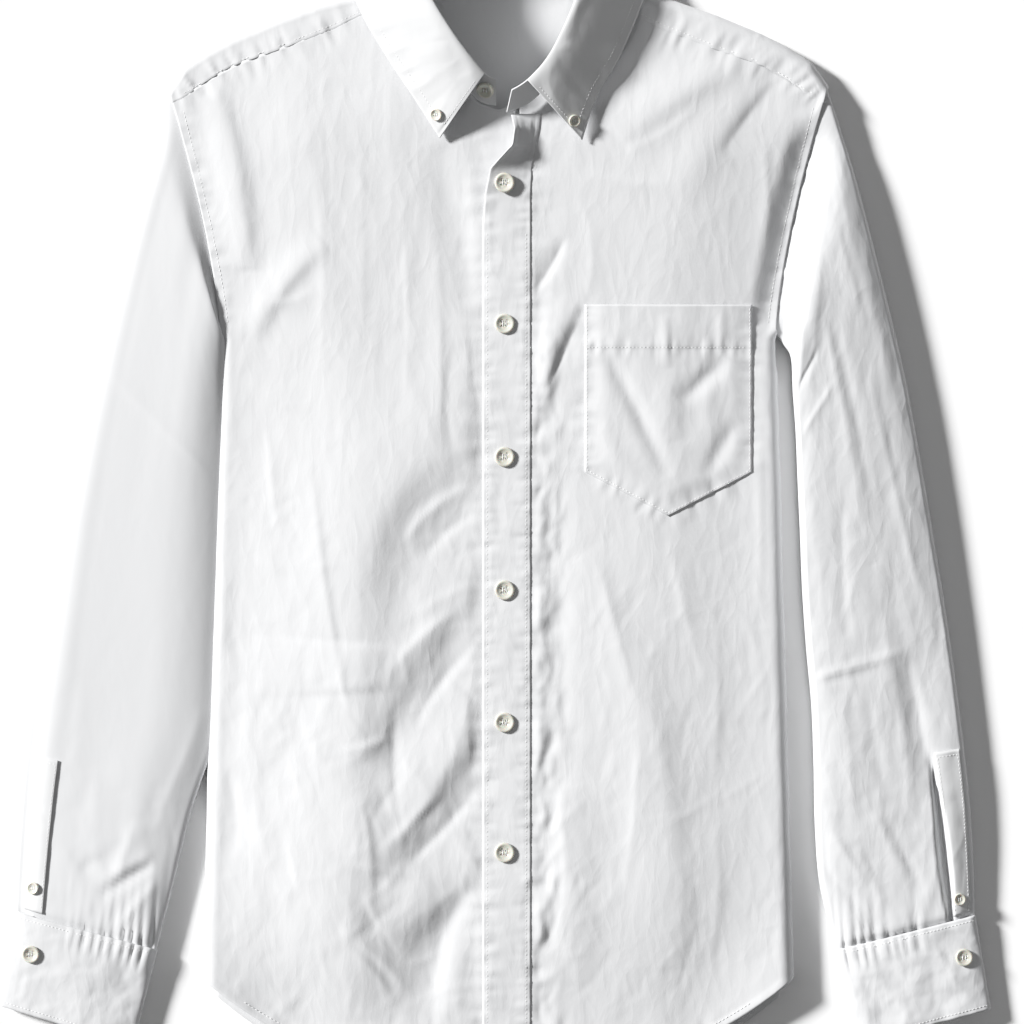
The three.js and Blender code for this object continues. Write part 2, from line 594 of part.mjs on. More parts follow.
function collarStand() {
  return wallFromGrid(gridOf(STAND_ROWS, STAND_COLUMNS, (up, share) => standPoint(share, up)), STAND_WALL);
}

// x, y, z of the leaf's free edge, over the stand's sections from its second to its last but one
const leafEdge = [
  [-40.6, 261, 25], [-58, 288, 25], [-79, 320, 24], [-96, 350, 22.5], [-102, 374, 12],
  [-84, 392, 5], [-48, 405, 3], [4, 410, 2.6], [56, 405, 3], [90, 392, 5],
  [108, 376, 12], [101, 356, 21], [86, 320, 24], [69, 290, 25], [58.8, 259.7, 25],
];
const LEAF_COLUMNS = 26;
const LEAF_ROWS = 5;
const FIRST_LEAF_SHARE = 1 / (standSections.length - 1);
const FOLD_HEIGHT = 7; // the leaf's fold is drawn up this far over the stand

// share runs along the leaf, out from its seam on the stand over the fold to the free edge.
function leafPoint(share, out) {
  const standShare = lerp(FIRST_LEAF_SHARE, 1 - FIRST_LEAF_SHARE, share);
  const seam = standPoint(standShare, 1);
  const [edgeX, edgeY, tableZ] = [0, 1, 2].map((column) => sectionValue(leafEdge, share, column));
  const onShirt = edgeY < shoulderY(edgeX) - SHOULDER_HALF && Math.abs(edgeX) < 200;
  const edgeZ = onShirt ? Math.max(tableZ, frontHeight(edgeX, edgeY) + PATCH_LIFT) : tableZ;
  const start = seam.clone().add(new THREE.Vector3(0, 0, LIFT));
  const edge = new THREE.Vector3(edgeX, edgeY, edgeZ);
  const overFold = seam.clone().lerp(edge, 0.08).setZ(seam.z + FOLD_HEIGHT);
  const slope = seam.clone().lerp(edge, 0.5).setZ(lerp(seam.z, edgeZ, 0.36) + 4);
  return new THREE.CubicBezierCurve3(start, overFold, slope, edge).getPoint(out);
}

function collarLeaf() {
  return wallFromGrid(gridOf(LEAF_ROWS, LEAF_COLUMNS, (out, share) => leafPoint(share, out)), STAND_WALL);
}

// ---- Pieces sewn on the panels, made from the panels' own height and moved out ----

// y, leftX, rightX, lift of the left edge: the placket, which rolls open above the first button
const placketSections = [
  [-396, PLACKET_LEFT, PLACKET_RIGHT, 0], [200, PLACKET_LEFT, PLACKET_RIGHT, 0],
  [222, PLACKET_LEFT + 1.6, PLACKET_RIGHT, 1.5], [240, -5.6, 24, 6], [256, 10, 26.5, 11],
  [268, 11.5, 29, 9], [278, 9, 30, 3.4],
];
const PLACKET_ROWS = 34;
const PLACKET_COLUMNS = 3;

const placketAt = (y) => [1, 2, 3].map((column) =>
  readTable(placketSections.map((row) => [row[0], row[column]]), y));

function placketHeight(x, y) {
  const [leftX, rightX, lift] = placketAt(y);
  const across = clamp((x - leftX) / (rightX - leftX), 0, 1);
  return frontHeight(x, y) + LIFT + lift * (1 - across) ** 1.5;
}

function placketPoint(up, across) {
  const y = lerp(placketSections[0][0], placketSections[placketSections.length - 1][0], up);
  const [leftX, rightX] = placketAt(y);
  const x = lerp(leftX, rightX, across);
  return new THREE.Vector3(x, y, placketHeight(x, y));
}

function placket() {
  return wallFromGrid(gridOf(PLACKET_ROWS, PLACKET_COLUMNS, placketPoint));
}

const pocket = { left: 60.6, right: 178, top: 145, sideDepth: 117, pointDepth: 148 };

function chestPocket() {
  return wallFromGrid(gridOf(7, 8, (down, across) => {
    const x = lerp(pocket.left, pocket.right, across);
    const depth = lerp(pocket.sideDepth, pocket.pointDepth, 1 - Math.abs(2 * across - 1));
    const y = pocket.top - depth * down;
    return new THREE.Vector3(x, y, frontHeight(x, y) + PATCH_LIFT);
  }));
}

// The strip beside a sleeve's slit, from a stretch of the sleeve's own surface.
const sleevePlacket = {
  left: { from: 0.8, to: 0.985, outer: 0.055, innerFrom: 0.19, innerTo: 0.19 },
  right: { from: 0.775, to: 0.985, outer: 0.03, innerFrom: 0.2, innerTo: 0.15 },
};

function sleeveSurface(side, share, across) {
  const cosine = 1 - 2 * across;
  const angle = Math.acos(Math.sign(cosine) * Math.abs(cosine) ** (1 / 0.9));
  return sleevePoint(side, share, angle / (2 * Math.PI));
}

function lifted(surface, share, across, lift) {
  const step = 0.01;
  const point = surface(share, across);
  const down = surface(share + step, across).sub(surface(share - step, across));
  const over = surface(share, across + step).sub(surface(share, across - step));
  const normal = down.cross(over).normalize();
  return point.addScaledVector(normal, normal.z < 0 ? -lift : lift);
}

function stripPoint(side, down, across) {
  const { from, to, outer, innerFrom, innerTo } = side < 0 ? sleevePlacket.left : sleevePlacket.right;
  const inner = lerp(innerFrom, innerTo, down);
  return lifted((share, over) => sleeveSurface(side, share, over), lerp(from, to, down),
    lerp(outer, inner, across), STRIP_LIFT);
}

function sleeveStrip(side) {
  return wallFromGrid(gridOf(9, 3, (down, across) => stripPoint(side, down, across)));
}

// ---- Buttons: turned discs with a raised rim ----

// radius and height as shares of the button's own
const buttonProfile = [
  [0, 0], [0.8, 0], [1, 0.35], [0.96, 0.9], [0.78, 1], [0.6, 0.66], [0, 0.6],
];

function buttonShape(radius, height) {
  const outline = buttonProfile.map(([r, h]) => new THREE.Vector2(r * radius, h * height));
  return new THREE.LatheGeometry(outline, BUTTON_SIDES).rotateX(Math.PI / 2);
}

// share along and across the piece that each of the other buttons is sewn on, and its radius
const otherButtons = [
  { name: 'button_collar_right', on: leafPoint, along: 0.034, across: 0.9, radius: SMALL_BUTTON_R },
  { name: 'button_collar_left', on: leafPoint, along: 0.982, across: 0.86, radius: SMALL_BUTTON_R },
  { name: 'button_band', on: standPoint, along: 0.05, across: 0.5, radius: CUFF_BUTTON_R },
  { name: 'button_cuff_right', on: cuffSurface(-1), along: 0.38, across: 0.155, radius: CUFF_BUTTON_R },
  { name: 'button_cuff_left', on: cuffSurface(1), along: 0.4, across: 0.13, radius: CUFF_BUTTON_R },
  { name: 'button_sleeve_right', on: stripSurface(-1), along: 0.86, across: 0.45, radius: SMALL_BUTTON_R },
  { name: 'button_sleeve_left', on: stripSurface(1), along: 0.9, across: 0.62, radius: SMALL_BUTTON_R },
];
const frontButtons = FRONT_BUTTONS_Y.map((y, index) => ({
  name: `button_front_${index + 1}`,
  x: BUTTON_LINE_X,
  y,
  radius: BUTTON_R,
}));

// ---- The object ----

const material = (name, color, roughness) =>
  new THREE.MeshStandardMaterial({ name, color, roughness, metalness: 0 });
const poplin = () => material('poplin', 0xf2f1ee, 0.86);
const shell = () => material('button', 0xe9e6da, 0.34);

const shirt = new THREE.Group();
shirt.name = 'shirt';

function add(name, geometry, surface = poplin()) {
  const mesh = new THREE.Mesh(geometry, surface);
  mesh.name = name;
  shirt.add(mesh);
  return mesh;
}

add('front_left', front(1, FRONT_LEFT_START));
add('front_right', front(-1, FRONT_RIGHT_START));
add('back', back());
add('yoke', yoke());
add('sleeve_left', sleeve(1));
add('sleeve_right', sleeve(-1));
add('cuff_left', cuff(1));
add('cuff_right', cuff(-1));
add('collar_stand', collarStand());
add('collar_leaf', collarLeaf());
add('front_placket', placket());
add('chest_pocket', chestPocket());
add('sleeve_placket_left', sleeveStrip(1));
add('sleeve_placket_right', sleeveStrip(-1));

// A button seated on a surface point, its axis along the surface's normal.
function seatButton(name, seat, normal, radius, height = BUTTON_H) {
  const button = add(name, buttonShape(radius, height), shell());
  button.quaternion.setFromUnitVectors(new THREE.Vector3(0, 0, 1), normal);
  button.position.copy(seat).addScaledVector(normal, THREAD_GAP);
}

// The upper surface of a cuff, by its share along the sleeve and across from the outer edge.
function cuffSurface(side) {
  return (along, across) => {
    const angle = Math.acos(1 - 2 * clamp(across, 0.01, 0.99)) / (2 * Math.PI);
    return cuffPoint(side, along, (angle - CUFF_START) / (1 + CUFF_LAP));
  };
}

function stripSurface(side) {
  return (along, across) => stripPoint(side, along, across);
}

const UP = new THREE.Vector3(0, 0, 1);

// The highest point of the cloth under a button that lies level.
function highestUnder(x, y, radius, heightAt) {
  let highest = -Infinity;
  for (let turn = 0; turn < 12; turn += 1) {
    const angle = Math.PI * turn / 6;
    highest = Math.max(highest, heightAt(x + radius * Math.cos(angle), y + radius * Math.sin(angle)));
  }
  return Math.max(highest, heightAt(x, y));
}

// The others lie on curved pieces, tilted with them and clear of them by the cloth's own curve.
for (const { name, on, along, across, radius } of otherButtons) {
  const step = 0.02;
  const seat = on(along, across);
  const down = on(along + step, across).sub(on(along - step, across));
  const over = on(along, across + step).sub(on(along, across - step));
  const normal = down.cross(over).normalize();
  if (normal.z < 0) normal.negate();
  seatButton(name, seat.addScaledVector(normal, BUTTON_SEAT), normal, radius, SMALL_BUTTON_H);
}

for (const { name, x, y, radius } of frontButtons) {
  const top = highestUnder(x, y, radius, (atX, atY) => placketHeight(atX, atY) + WALL / 2);
  seatButton(name, new THREE.Vector3(x, y, top), UP, radius);
}

// ---- Centre of the footprint and the floor as the origin ----

const box = new THREE.Box3().setFromObject(shirt);
const middle = box.getCenter(new THREE.Vector3());
shirt.position.set(-middle.x, -middle.y, -box.min.z);

export default shirt;
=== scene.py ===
"""A creased white poplin shirt, laid flat on its back with the sides folded under.

The forms are worked out in millimetres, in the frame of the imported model, and become metres in the meshes.
Left and right in the names of pieces are the wearer's: the left is at +X.
"""

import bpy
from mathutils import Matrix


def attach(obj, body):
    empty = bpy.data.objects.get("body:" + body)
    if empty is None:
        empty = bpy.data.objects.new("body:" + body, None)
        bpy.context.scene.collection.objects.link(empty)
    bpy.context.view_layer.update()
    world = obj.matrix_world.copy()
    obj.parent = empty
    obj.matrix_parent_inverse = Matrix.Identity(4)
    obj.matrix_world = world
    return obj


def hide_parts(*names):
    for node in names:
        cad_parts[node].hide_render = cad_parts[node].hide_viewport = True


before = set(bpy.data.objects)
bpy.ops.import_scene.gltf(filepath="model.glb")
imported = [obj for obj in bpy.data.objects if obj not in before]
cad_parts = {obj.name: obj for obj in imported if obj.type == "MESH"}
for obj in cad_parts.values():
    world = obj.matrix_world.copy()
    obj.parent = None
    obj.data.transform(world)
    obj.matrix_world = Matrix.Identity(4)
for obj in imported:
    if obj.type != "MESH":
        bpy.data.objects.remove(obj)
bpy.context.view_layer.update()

import math

import bmesh
import bpy
import numpy as np
from mathutils import Matrix, Vector

MM = 0.001

# ---- Sizes of the shirt, as in its cut ----

LAYER = 0.5  # thickness of the cloth
FLOOR_Z = 0.5
UNDERARM_Y = 125
CHEST_HALF = 195
EDGE_SPREAD = 0.027
SHOULDER_RISE = 168
SHOULDER_OUT = 35
FLAP = 45
EDGE_HALF = 9
EDGE_TOP = 15
MIDDLE_TOP = 21
HEM_DROP = 8
SWELL = 95
SHOULDER_HALF = 8
ARMHOLE_DROP = 5
FRONT_HEM_Y = -398
BACK_HEM_Y = -408
SIDE_HEM_Y = -278
HEM_POWER = 2.46
CENTRE_NECK_Y = 281
SHOULDER_SEAM_END_Y = 288
BACK_YOKE_Y = 262
NECK_HALF = 56
PLACKET_LEFT = -10.8
PLACKET_RIGHT = 23.2
PLACKET_MIDDLE = (PLACKET_LEFT + PLACKET_RIGHT) / 2
PLACKET_LIFT = 0.6
PLACKET_FOOT = -396
PLACKET_HEAD = 262
PLACKET_STITCH = 3.4  # its sewing lies this far inside each edge
PLACKET_SEAMS = (PLACKET_LEFT + PLACKET_STITCH, PLACKET_RIGHT - PLACKET_STITCH)
BUTTON_LINE_X = 4.6
FRONT_BUTTONS_Y = [230, 131.6, 38.5, -54.6, -147, -238]
POCKET = {"left": 60.6, "right": 178, "top": 145, "side": 117, "point": 148, "hem": 30}
EDGE_ROLL = math.pi * (EDGE_HALF + (EDGE_TOP - FLOOR_Z) / 2) / 2
SIDE_LENGTH = CHEST_HALF - EDGE_HALF + EDGE_ROLL + FLAP


# ---- Plain helpers ----

def lerp(a, b, t):
    return a + (b - a) * t


def smooth(x, low, high):
    t = np.clip((np.asarray(x, float) - low) / (high - low), 0, 1)
    return t * t * (3 - 2 * t)


def read(pairs, x):
    return np.interp(x, [pair[0] for pair in pairs], [pair[1] for pair in pairs])


def noise(x, y, seed):
    """Soft uneven waves, about -0.7 to 0.7, one wave to each unit of x and y."""
    turns = np.random.default_rng(seed).uniform(0, 2 * math.pi, (64, 64))
    x, y = np.broadcast_arrays(np.asarray(x, float), np.asarray(y, float))
    column, row = np.floor(x).astype(int), np.floor(y).astype(int)
    u, v = x - column, y - row

    def corner(a, b):
        turn = turns[(column + a) % 64, (row + b) % 64]
        return np.cos(turn) * (u - a) + np.sin(turn) * (v - b)

    fade_u, fade_v = (t ** 3 * (t * (6 * t - 15) + 10) for t in (u, v))
    return lerp(lerp(corner(0, 0), corner(1, 0), fade_u), lerp(corner(0, 1), corner(1, 1), fade_u), fade_v)


def facets(x, y, seed, heading):
    """Uneven flat faces with crisp edges between them, as in crushed cloth, about -1 to 1 high."""
    heights = np.random.default_rng(seed).uniform(-1, 1, (64, 64))
    turn = math.radians(heading)
    u = x * math.cos(turn) + y * math.sin(turn) + 0.75 * noise(x * 0.8, y * 0.8, seed + 1)
    v = y * math.cos(turn) - x * math.sin(turn) + 0.75 * noise(x * 0.8, y * 0.8, seed + 2)
    column, row = np.floor(u).astype(int), np.floor(v).astype(int)
    u, v = u - column, v - row

    def corner(a, b):
        return heights[(column + a) % 64, (row + b) % 64]

    low, high, far = corner(0, 0), np.where(u > v, corner(1, 0), corner(0, 1)), corner(1, 1)
    return low + np.maximum(u, v) * (high - low) + np.minimum(u, v) * (far - high)


def flowing(spots, values, x):
    """A smooth curve through values at spots. values may also hold a column for each x."""
    spots, values = np.array(spots, float), np.array(values, float)
    slopes = np.gradient(values, spots, axis=0)
    x = np.clip(x, spots[0], spots[-1])
    left = np.clip(np.searchsorted(spots, x, side="right") - 1, 0, len(spots) - 2)
    step = spots[left + 1] - spots[left]
    t = (x - spots[left]) / step
    here, there = ((left,), (left + 1,)) if values.ndim == 1 else (
        (left, np.arange(len(x))), (left + 1, np.arange(len(x))))
    rise = t * t * (3 - 2 * t)
    return (lerp(values[here], values[there], rise)
            + step * (t * (1 - t) ** 2 * slopes[here] - t * t * (1 - t) * slopes[there]))


def bent_line(start, bend, end, steps=12):
    t = np.linspace(0, 1, steps)[:, None]
    a, b, c = (np.array(p, float) for p in (start, bend, end))
    return (1 - t) ** 2 * a + 2 * t * (1 - t) * b + t ** 2 * c


def near_line(line, x, y):
    """Signed distance of each place from a line, and how many millimetres along it the nearest point is."""
    nearest = np.full(np.shape(x), 1e9)
    signed = np.zeros(np.shape(x))
    along = np.zeros(np.shape(x))
    walked = 0.0
    for (ax, ay), (bx, by) in zip(line[:-1], line[1:]):
        dx, dy = bx - ax, by - ay
        length = math.hypot(dx, dy)
        t = np.clip(((x - ax) * dx + (y - ay) * dy) / length ** 2, 0, 1)
        px, py = x - ax - t * dx, y - ay - t * dy
        away = np.hypot(px, py)
        closer = away < nearest
        nearest = np.where(closer, away, nearest)
        signed = np.where(closer, away * np.sign(dx * py - dy * px), signed)
        along = np.where(closer, walked + t * length, along)
        walked += length
    return signed, along, walked


# ---- Folds ----

# from x, y, bend x, y, to x, y, width on the left and on the right hand of its way, height
FOLDS = [
    (-12, 46, -112, 44, -98, -126, 22, 58, 5), (-6, -52, -47, -61, -100, -172, 13, 32, 3.2),
    (-6, -142, -44, -181, -88, -254, 13, 32, 4), (-6, -246, -35, -265, -79, -296, 13, 28, 3.2),
    (-99, -92, -108, -209, -106, -356, 24, 70, 5.6), (-10, -253, -52, -286, -48, -368, 9, 24, -3.8),
    (-202, 302, -181, 256, -175, 169, 8, 15, 2.7), (-121, 188, -150, 166, -174, 122, 7, 12, 2.1),
    (-42, 256, -30, 200, -14, 136, 12, 12, -1.6), (-172, -120, -176, -200, -198, -285, 14, 14, 1.2),
    (175, 316, 128, 296, 84, 262, 11, 16, 2), (188, 304, 160, 276, 124, 218, 12, 16, 1),
    (54, 147, 37, 112, 24, 61, 7, 16, 2.4), (40, 30, 44, -60, 38, -200, 10, 10, -1.6),
    (58, -30, 118, -120, 128, -320, 13, 28, 1.6), (52, -190, 60, -250, 48, -330, 13, 13, 1.4),
]

# from x, y, bend x, y, to x, y, width, height: smaller creases, crisper than the folds
CREASES = [
    (-130, 36, -124, -50, -106, -132, 4, 0.9), (-160, 57, -160, 20, -154, -17, 3.5, 0.7),
    (-108, -166, -94, -166, -76, -157, 3, 1.3), (-112, -292, -84, -306, -64, -336, 3, 1.0),
    (-104, -306, -84, -318, -72, -346, 3, 0.8), (-18, 18, -52, 6, -66, -24, 4, 1.3),
    (-18, -2, -42, -16, -52, -34, 4, -1.2), (-30, -70, -56, -84, -74, -112, 4, 1.2),
    (-16, -92, -42, -118, -58, -150, 4, -1.2), (-70, -130, -78, -180, -66, -226, 4, -1.0),
    (-98, -196, -84, -236, -90, -282, 4, 1.0), (-40, -190, -56, -216, -84, -238, 4, 1.1),
    (-16, -196, -34, -220, -62, -246, 3.5, -1.2), (-130, 250, -118, 180, -124, 96, 5, 0.5),
    (-98, 262, -92, 190, -96, 110, 5, 0.4), (-70, 236, -58, 150, -66, 60, 5, 0.5),
    (-168, 150, -150, 140, -128, 156, 5, 0.8), (-176, 96, -160, 74, -132, 70, 4, 0.5),
    (-190, -180, -178, -210, -186, -240, 5, -0.9), (-168, -196, -170, -226, -160, -250, 5, 0.7),
    (-44, 190, -36, 120, -44, 40, 5, 0.6), (-30, 120, -40, 80, -30, 30, 4, -0.5),
    (47, 192, 40, 172, 25, 153, 3.5, -1.6), (195, 301, 172, 276, 156, 249, 6, -1.4),
    (60, 142, 46, 110, 27, 72, 4, -1.4), (38, 30, 44, -20, 36, -80, 4, 0.8),
    (44, -90, 38, -130, 48, -180, 4.5, 0.7), (40, -200, 52, -240, 42, -300, 4.5, 0.7),
    (70, -30, 82, -90, 104, -150, 5, 0.8), (120, -20, 128, -70, 146, -120, 5, 0.7),
    (150, -60, 158, -120, 150, -190, 5, 0.6), (96, -150, 100, -200, 88, -262, 5, 0.7),
    (150, -210, 160, -262, 148, -314, 5, 0.6), (182, 60, 186, 0, 182, -70, 5, 0.6),
    (60, 240, 84, 226, 120, 230, 5, 0.6), (60, 216, 70, 180, 62, 150, 4.5, 0.5),
    (186, 262, 190, 220, 188, 180, 4, 0.7), (140, 286, 120, 262, 84, 250, 4.5, 0.6),
]


def runs(rows, x, y):
    """For each row's bent line: the distance from it, a rise and fall along it, and the row's other values."""
    for from_x, from_y, bend_x, bend_y, to_x, to_y, *sizes in rows:
        away, along, length = near_line(bent_line((from_x, from_y), (bend_x, bend_y), (to_x, to_y)), x, y)
        yield away, np.clip(np.sin(math.pi * np.clip(along / length, 0, 1)), 0, 1), *sizes


def fold_relief(x, y):
    relief = np.zeros(np.shape(x))
    for away, rise, left_width, right_width, height in runs(FOLDS, x, y):
        relief += height * np.sqrt(rise) * np.exp(-(away / np.where(away > 0, left_width, right_width)) ** 2)
    return relief


def crease_relief(x, y):
    """Creases with a crisp crest, steeper on one side than on the other."""
    relief = np.zeros(np.shape(x))
    for number, (away, rise, width, height) in enumerate(runs(CREASES, x, y)):
        lean = np.where(away * (-1) ** number > 0, 0.7, 1.6)
        relief += height * rise ** 0.7 * np.exp(-(np.abs(away) / (width * lean)) ** 1.35)
    return relief


def crinkles(x, y, seed, count, area, length, width, height, heading, spread):
    """Short uneven creases scattered over an area (low x, low y, high x, high y), seeded."""
    pick = np.random.default_rng(seed)
    relief = np.zeros(np.shape(x))
    for _ in range(count):
        middle_x, middle_y = pick.uniform(area[0], area[2]), pick.uniform(area[1], area[3])
        turn = math.radians(pick.normal(heading, spread))
        half = pick.uniform(*length) / 2
        wide = pick.uniform(*width)
        tall = pick.uniform(*height) * pick.choice([1, 1, -1])
        bow = pick.uniform(-0.3, 0.3)
        near = (np.abs(x - middle_x) < half + 3 * wide) & (np.abs(y - middle_y) < half + 3 * wide)
        if not near.any():
            continue
        dx, dy = x[near] - middle_x, y[near] - middle_y
        along = (dx * math.cos(turn) + dy * math.sin(turn)) / half
        away = dy * math.cos(turn) - dx * math.sin(turn) - bow * half * (along ** 2 - 0.3)
        fade = np.clip(1 - along ** 2, 0, 1) ** 1.5
        side = np.where(away > 0, pick.uniform(0.6, 1), pick.uniform(1, 1.9))
        relief[near] += tall * fade * np.exp(-(np.abs(away) / (wide * side)) ** 1.3)
    return relief


def puckers(line, x, y, seed, reach=9, height=0.45, pitch=7.5):
    """Ripples across a sewn line, where the stitches draw the cloth in unevenly."""
    away, along, length = near_line(line, x, y)
    wave = noise(along / pitch, away / 30, seed) + 0.55 * facets(along / pitch * 1.7, away / 16, seed + 1, 0)
    return height * wave * np.exp(-(away / reach) ** 2)


# ---- Outlines ----

SHOULDER_FOLD = [
    (0, 376), (62, 374), (80, 370), (100, 364), (124, 358), (150, 348),
    (178, 335), (195, 326), (213, 315), (230, 297),
]
FRONT_TOP = [
    (0, CENTRE_NECK_Y), (14, 286), (27, 300), (41, 323), (50, 343), (56, 361), (80, 356), (97, 349), (115, 340),
    (150, 326), (183, 314), (204, 302), (217, 293), (229, SHOULDER_SEAM_END_Y),
]


def half_width(y):
    return CHEST_HALF + (UNDERARM_Y - y) * EDGE_SPREAD


def armhole_x(y):
    return CHEST_HALF + SHOULDER_OUT * (np.maximum(0, y - UNDERARM_Y) / SHOULDER_RISE) ** 1.3


def shoulder_y(x):
    return read(SHOULDER_FOLD, np.abs(x))


def front_top_y(x):
    return read(FRONT_TOP, np.abs(x))


def hem_y(distance, middle):
    return middle + (SIDE_HEM_Y - middle) * (np.minimum(distance, SIDE_LENGTH) / SIDE_LENGTH) ** HEM_POWER


def armhole_drop(x, y):
    """How far the wearer's left front falls off just inside its armhole seam."""
    beside = smooth(x, armhole_x(y) - 22, armhole_x(y) - 4)
    return ARMHOLE_DROP * beside * (1 - smooth(y, 250, 278)) * smooth(y, UNDERARM_Y - 8, UNDERARM_Y + 25)


def plain_front(x, y):
    """Height of the front with its long folds, which everything that lies on it shares."""
    from_side = half_width(y) - EDGE_HALF - np.abs(x) + np.maximum(0, y - 95) * 0.25
    from_shoulder = shoulder_y(x) - SHOULDER_HALF - y
    from_hem = y - hem_y(np.abs(x), FRONT_HEM_Y)
    rise = smooth(from_side, 0, SWELL) * smooth(from_shoulder, -10, SWELL)
    stiff = lerp(0.2, 1, smooth(np.abs(x - PLACKET_MIDDLE), 17, 29))
    inside = smooth(from_side, 2, 30) * smooth(from_shoulder, 2, 26) * smooth(from_hem, 4, 60)
    drop = HEM_DROP * (1 - smooth(from_hem, 0, 130)) * smooth(from_side, -5, 70)
    height = EDGE_TOP + (MIDDLE_TOP - EDGE_TOP) * rise - drop + fold_relief(x, y) * stiff * inside
    return height - armhole_drop(x, y)


def drawn_front(x, y):
    """The same with the puckers along the sewn edges, which both pieces at such an edge share."""
    height = plain_front(x, y)
    for edge, seed, depth in ((PLACKET_LEFT, 43, 0.9), (PLACKET_RIGHT, 45, 1.0)):
        height = height + puckers([(edge, PLACKET_FOOT), (edge, PLACKET_HEAD)], x, y, seed, 10, depth, 8)
    height += puckers(pocket_outline(), x, y, 47, 8, 0.9, 8)
    for side, seed in ((-1, 73), (1, 75)):
        height += puckers(seam_line(side, below=0), x, y, seed, 12, 1.1, 8)
    return height


def pocket_outline(inset=0, below_top=0):
    """The pocket's sewn edges, or a line inside them."""
    left, right = POCKET["left"] + inset, POCKET["right"] - inset
    top, corner = POCKET["top"] - below_top, POCKET["top"] - POCKET["side"] + 0.7 * inset
    point = ((left + right) / 2, POCKET["top"] - POCKET["point"] + 1.2 * inset)
    return [(left, top), (left, corner), point, (right, corner), (right, top)]


def seam_line(side, start=56, end=227, below=2.0):
    """The seam of yoke and front, seen from above, and the lines beside it."""
    x = np.linspace(start, end, 24)
    return np.column_stack([side * x, front_top_y(x) - below])


def armhole_line(side, inside=4.0):
    y = np.linspace(132, 284, 20)
    return np.column_stack([side * (armhole_x(y) - inside), y])


def hem_line(inside=4.0, reach=178):
    x = np.linspace(-reach, reach, 60)
    return np.column_stack([x, hem_y(np.abs(x), FRONT_HEM_Y) + inside])


# seed, count, area, then ranges of length, width and height, heading in degrees and its spread
BODY_CRINKLES = [
    (21, 110, (-196, -20, 196, 320), (34, 110), (2.2, 4.2), (0.05, 0.15), 90, 13),
    (22, 300, (-200, -396, 200, 20), (12, 46), (1.6, 2.8), (0.14, 0.42), 75, 42),
    (23, 80, (-200, -396, 200, -60), (30, 80), (2, 3.4), (0.25, 0.6), 70, 30),
]


def front_detail(x, y):
    """Creases, crushed faces and puckers of the fronts, fading out under the placket and the pocket."""
    low = smooth(-y, -70, 150)
    calm = lerp(1, 0.42, smooth(x, 30, 80))
    relief = 0.55 * calm * noise(x / 46, y / 120, 11) + 0.17 * calm * noise(x / 20, y / 62, 12)
    relief += 0.07 * calm * noise(x / 9, y / 24, 13)
    crushed = 0.46 * facets(x / 34, y / 54, 15, 12) + 0.24 * facets(x / 18, y / 26, 16, 65)
    crushed += 0.12 * facets(x / 10, y / 14, 17, 130)
    relief += crushed * lerp(0.3, 1.0, low) * calm
    relief += 0.05 * calm * facets(x / 5.5, y / 8, 18, 35) * lerp(0.5, 1.3, low)
    bulging = np.exp(-((x - PLACKET_RIGHT - 9) / 12) ** 2) * smooth(-y, -190, -120)
    loose = 1.1 * facets((x - y * 0.2) / 13, y / 20, 19, 20) + 0.5 * facets(x / 6, y / 9, 20, 70)
    relief += bulging * loose
    relief += crease_relief(x, y)
    for row in BODY_CRINKLES:
        relief += calm * crinkles(x, y, *row)
    for side, seed in ((-1, 35), (1, 37)):
        relief += puckers(armhole_line(side), x, y, seed, 7, 0.8, 7)
    relief += puckers(hem_line(), x, y, 41, 7, 0.7, 8)
    from_placket = np.abs(x - PLACKET_MIDDLE) - (PLACKET_RIGHT - PLACKET_LEFT) / 2
    left, right, top = POCKET["left"], POCKET["right"], POCKET["top"]
    in_pocket = (smooth(x, left, left + 12) * smooth(-x, -right, 12 - right)
                 * smooth(-y, -top - 2, 12 - top) * smooth(y, top - POCKET["side"] - 6, 34))
    from_hem = y - hem_y(np.abs(x), FRONT_HEM_Y)
    turned_hem = 0.4 * (1 - smooth(from_hem, 6.0, 7.2))
    shown = smooth(from_placket, 0, 6) * (1 - in_pocket)
    edge = smooth(half_width(y) - EDGE_HALF - np.abs(x) + np.maximum(0, y - 110) * 0.5, -3, 9)
    return relief * shown * edge * smooth(from_hem, -2, 10) + turned_hem - 1.7 * in_pocket


def front_surface(x, y):
    return drawn_front(x, y) + front_detail(x, y)


# ---- Making cloth ----

def cloth(name, nodes, rows, columns, place, flat, material, thickness=LAYER, around=False):
    """A sheet of cloth. place takes shares across and along it and gives its points in millimetres."""
    mesh = bmesh.new()
    cut = mesh.loops.layers.uv.new("cut")
    bmesh.ops.create_grid(mesh, x_segments=columns, y_segments=rows, size=0.5, calc_uvs=True)
    shares = np.array([v.co[:2] for v in mesh.verts]) + 0.5
    placed = place(shares[:, 0], shares[:, 1])
    points = np.column_stack([np.broadcast_to(p, len(shares)) for p in placed]) * MM
    for vertex, point in zip(mesh.verts, points):
        vertex.co = point
    for face in mesh.faces:
        for loop in face.loops:
            loop[cut].uv = (loop[cut].uv[0] * flat[0], loop[cut].uv[1] * flat[1])
    if around:
        bmesh.ops.remove_doubles(mesh, verts=mesh.verts, dist=1e-6)
    bmesh.ops.recalc_face_normals(mesh, faces=mesh.faces)
    piece = finish_mesh(name, mesh, material)
    wall = piece.modifiers.new("layer", "SOLIDIFY")
    wall.thickness = thickness * MM
    wall.offset = 0
    wall.use_quality_normals = True
    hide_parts(*nodes)
    return piece


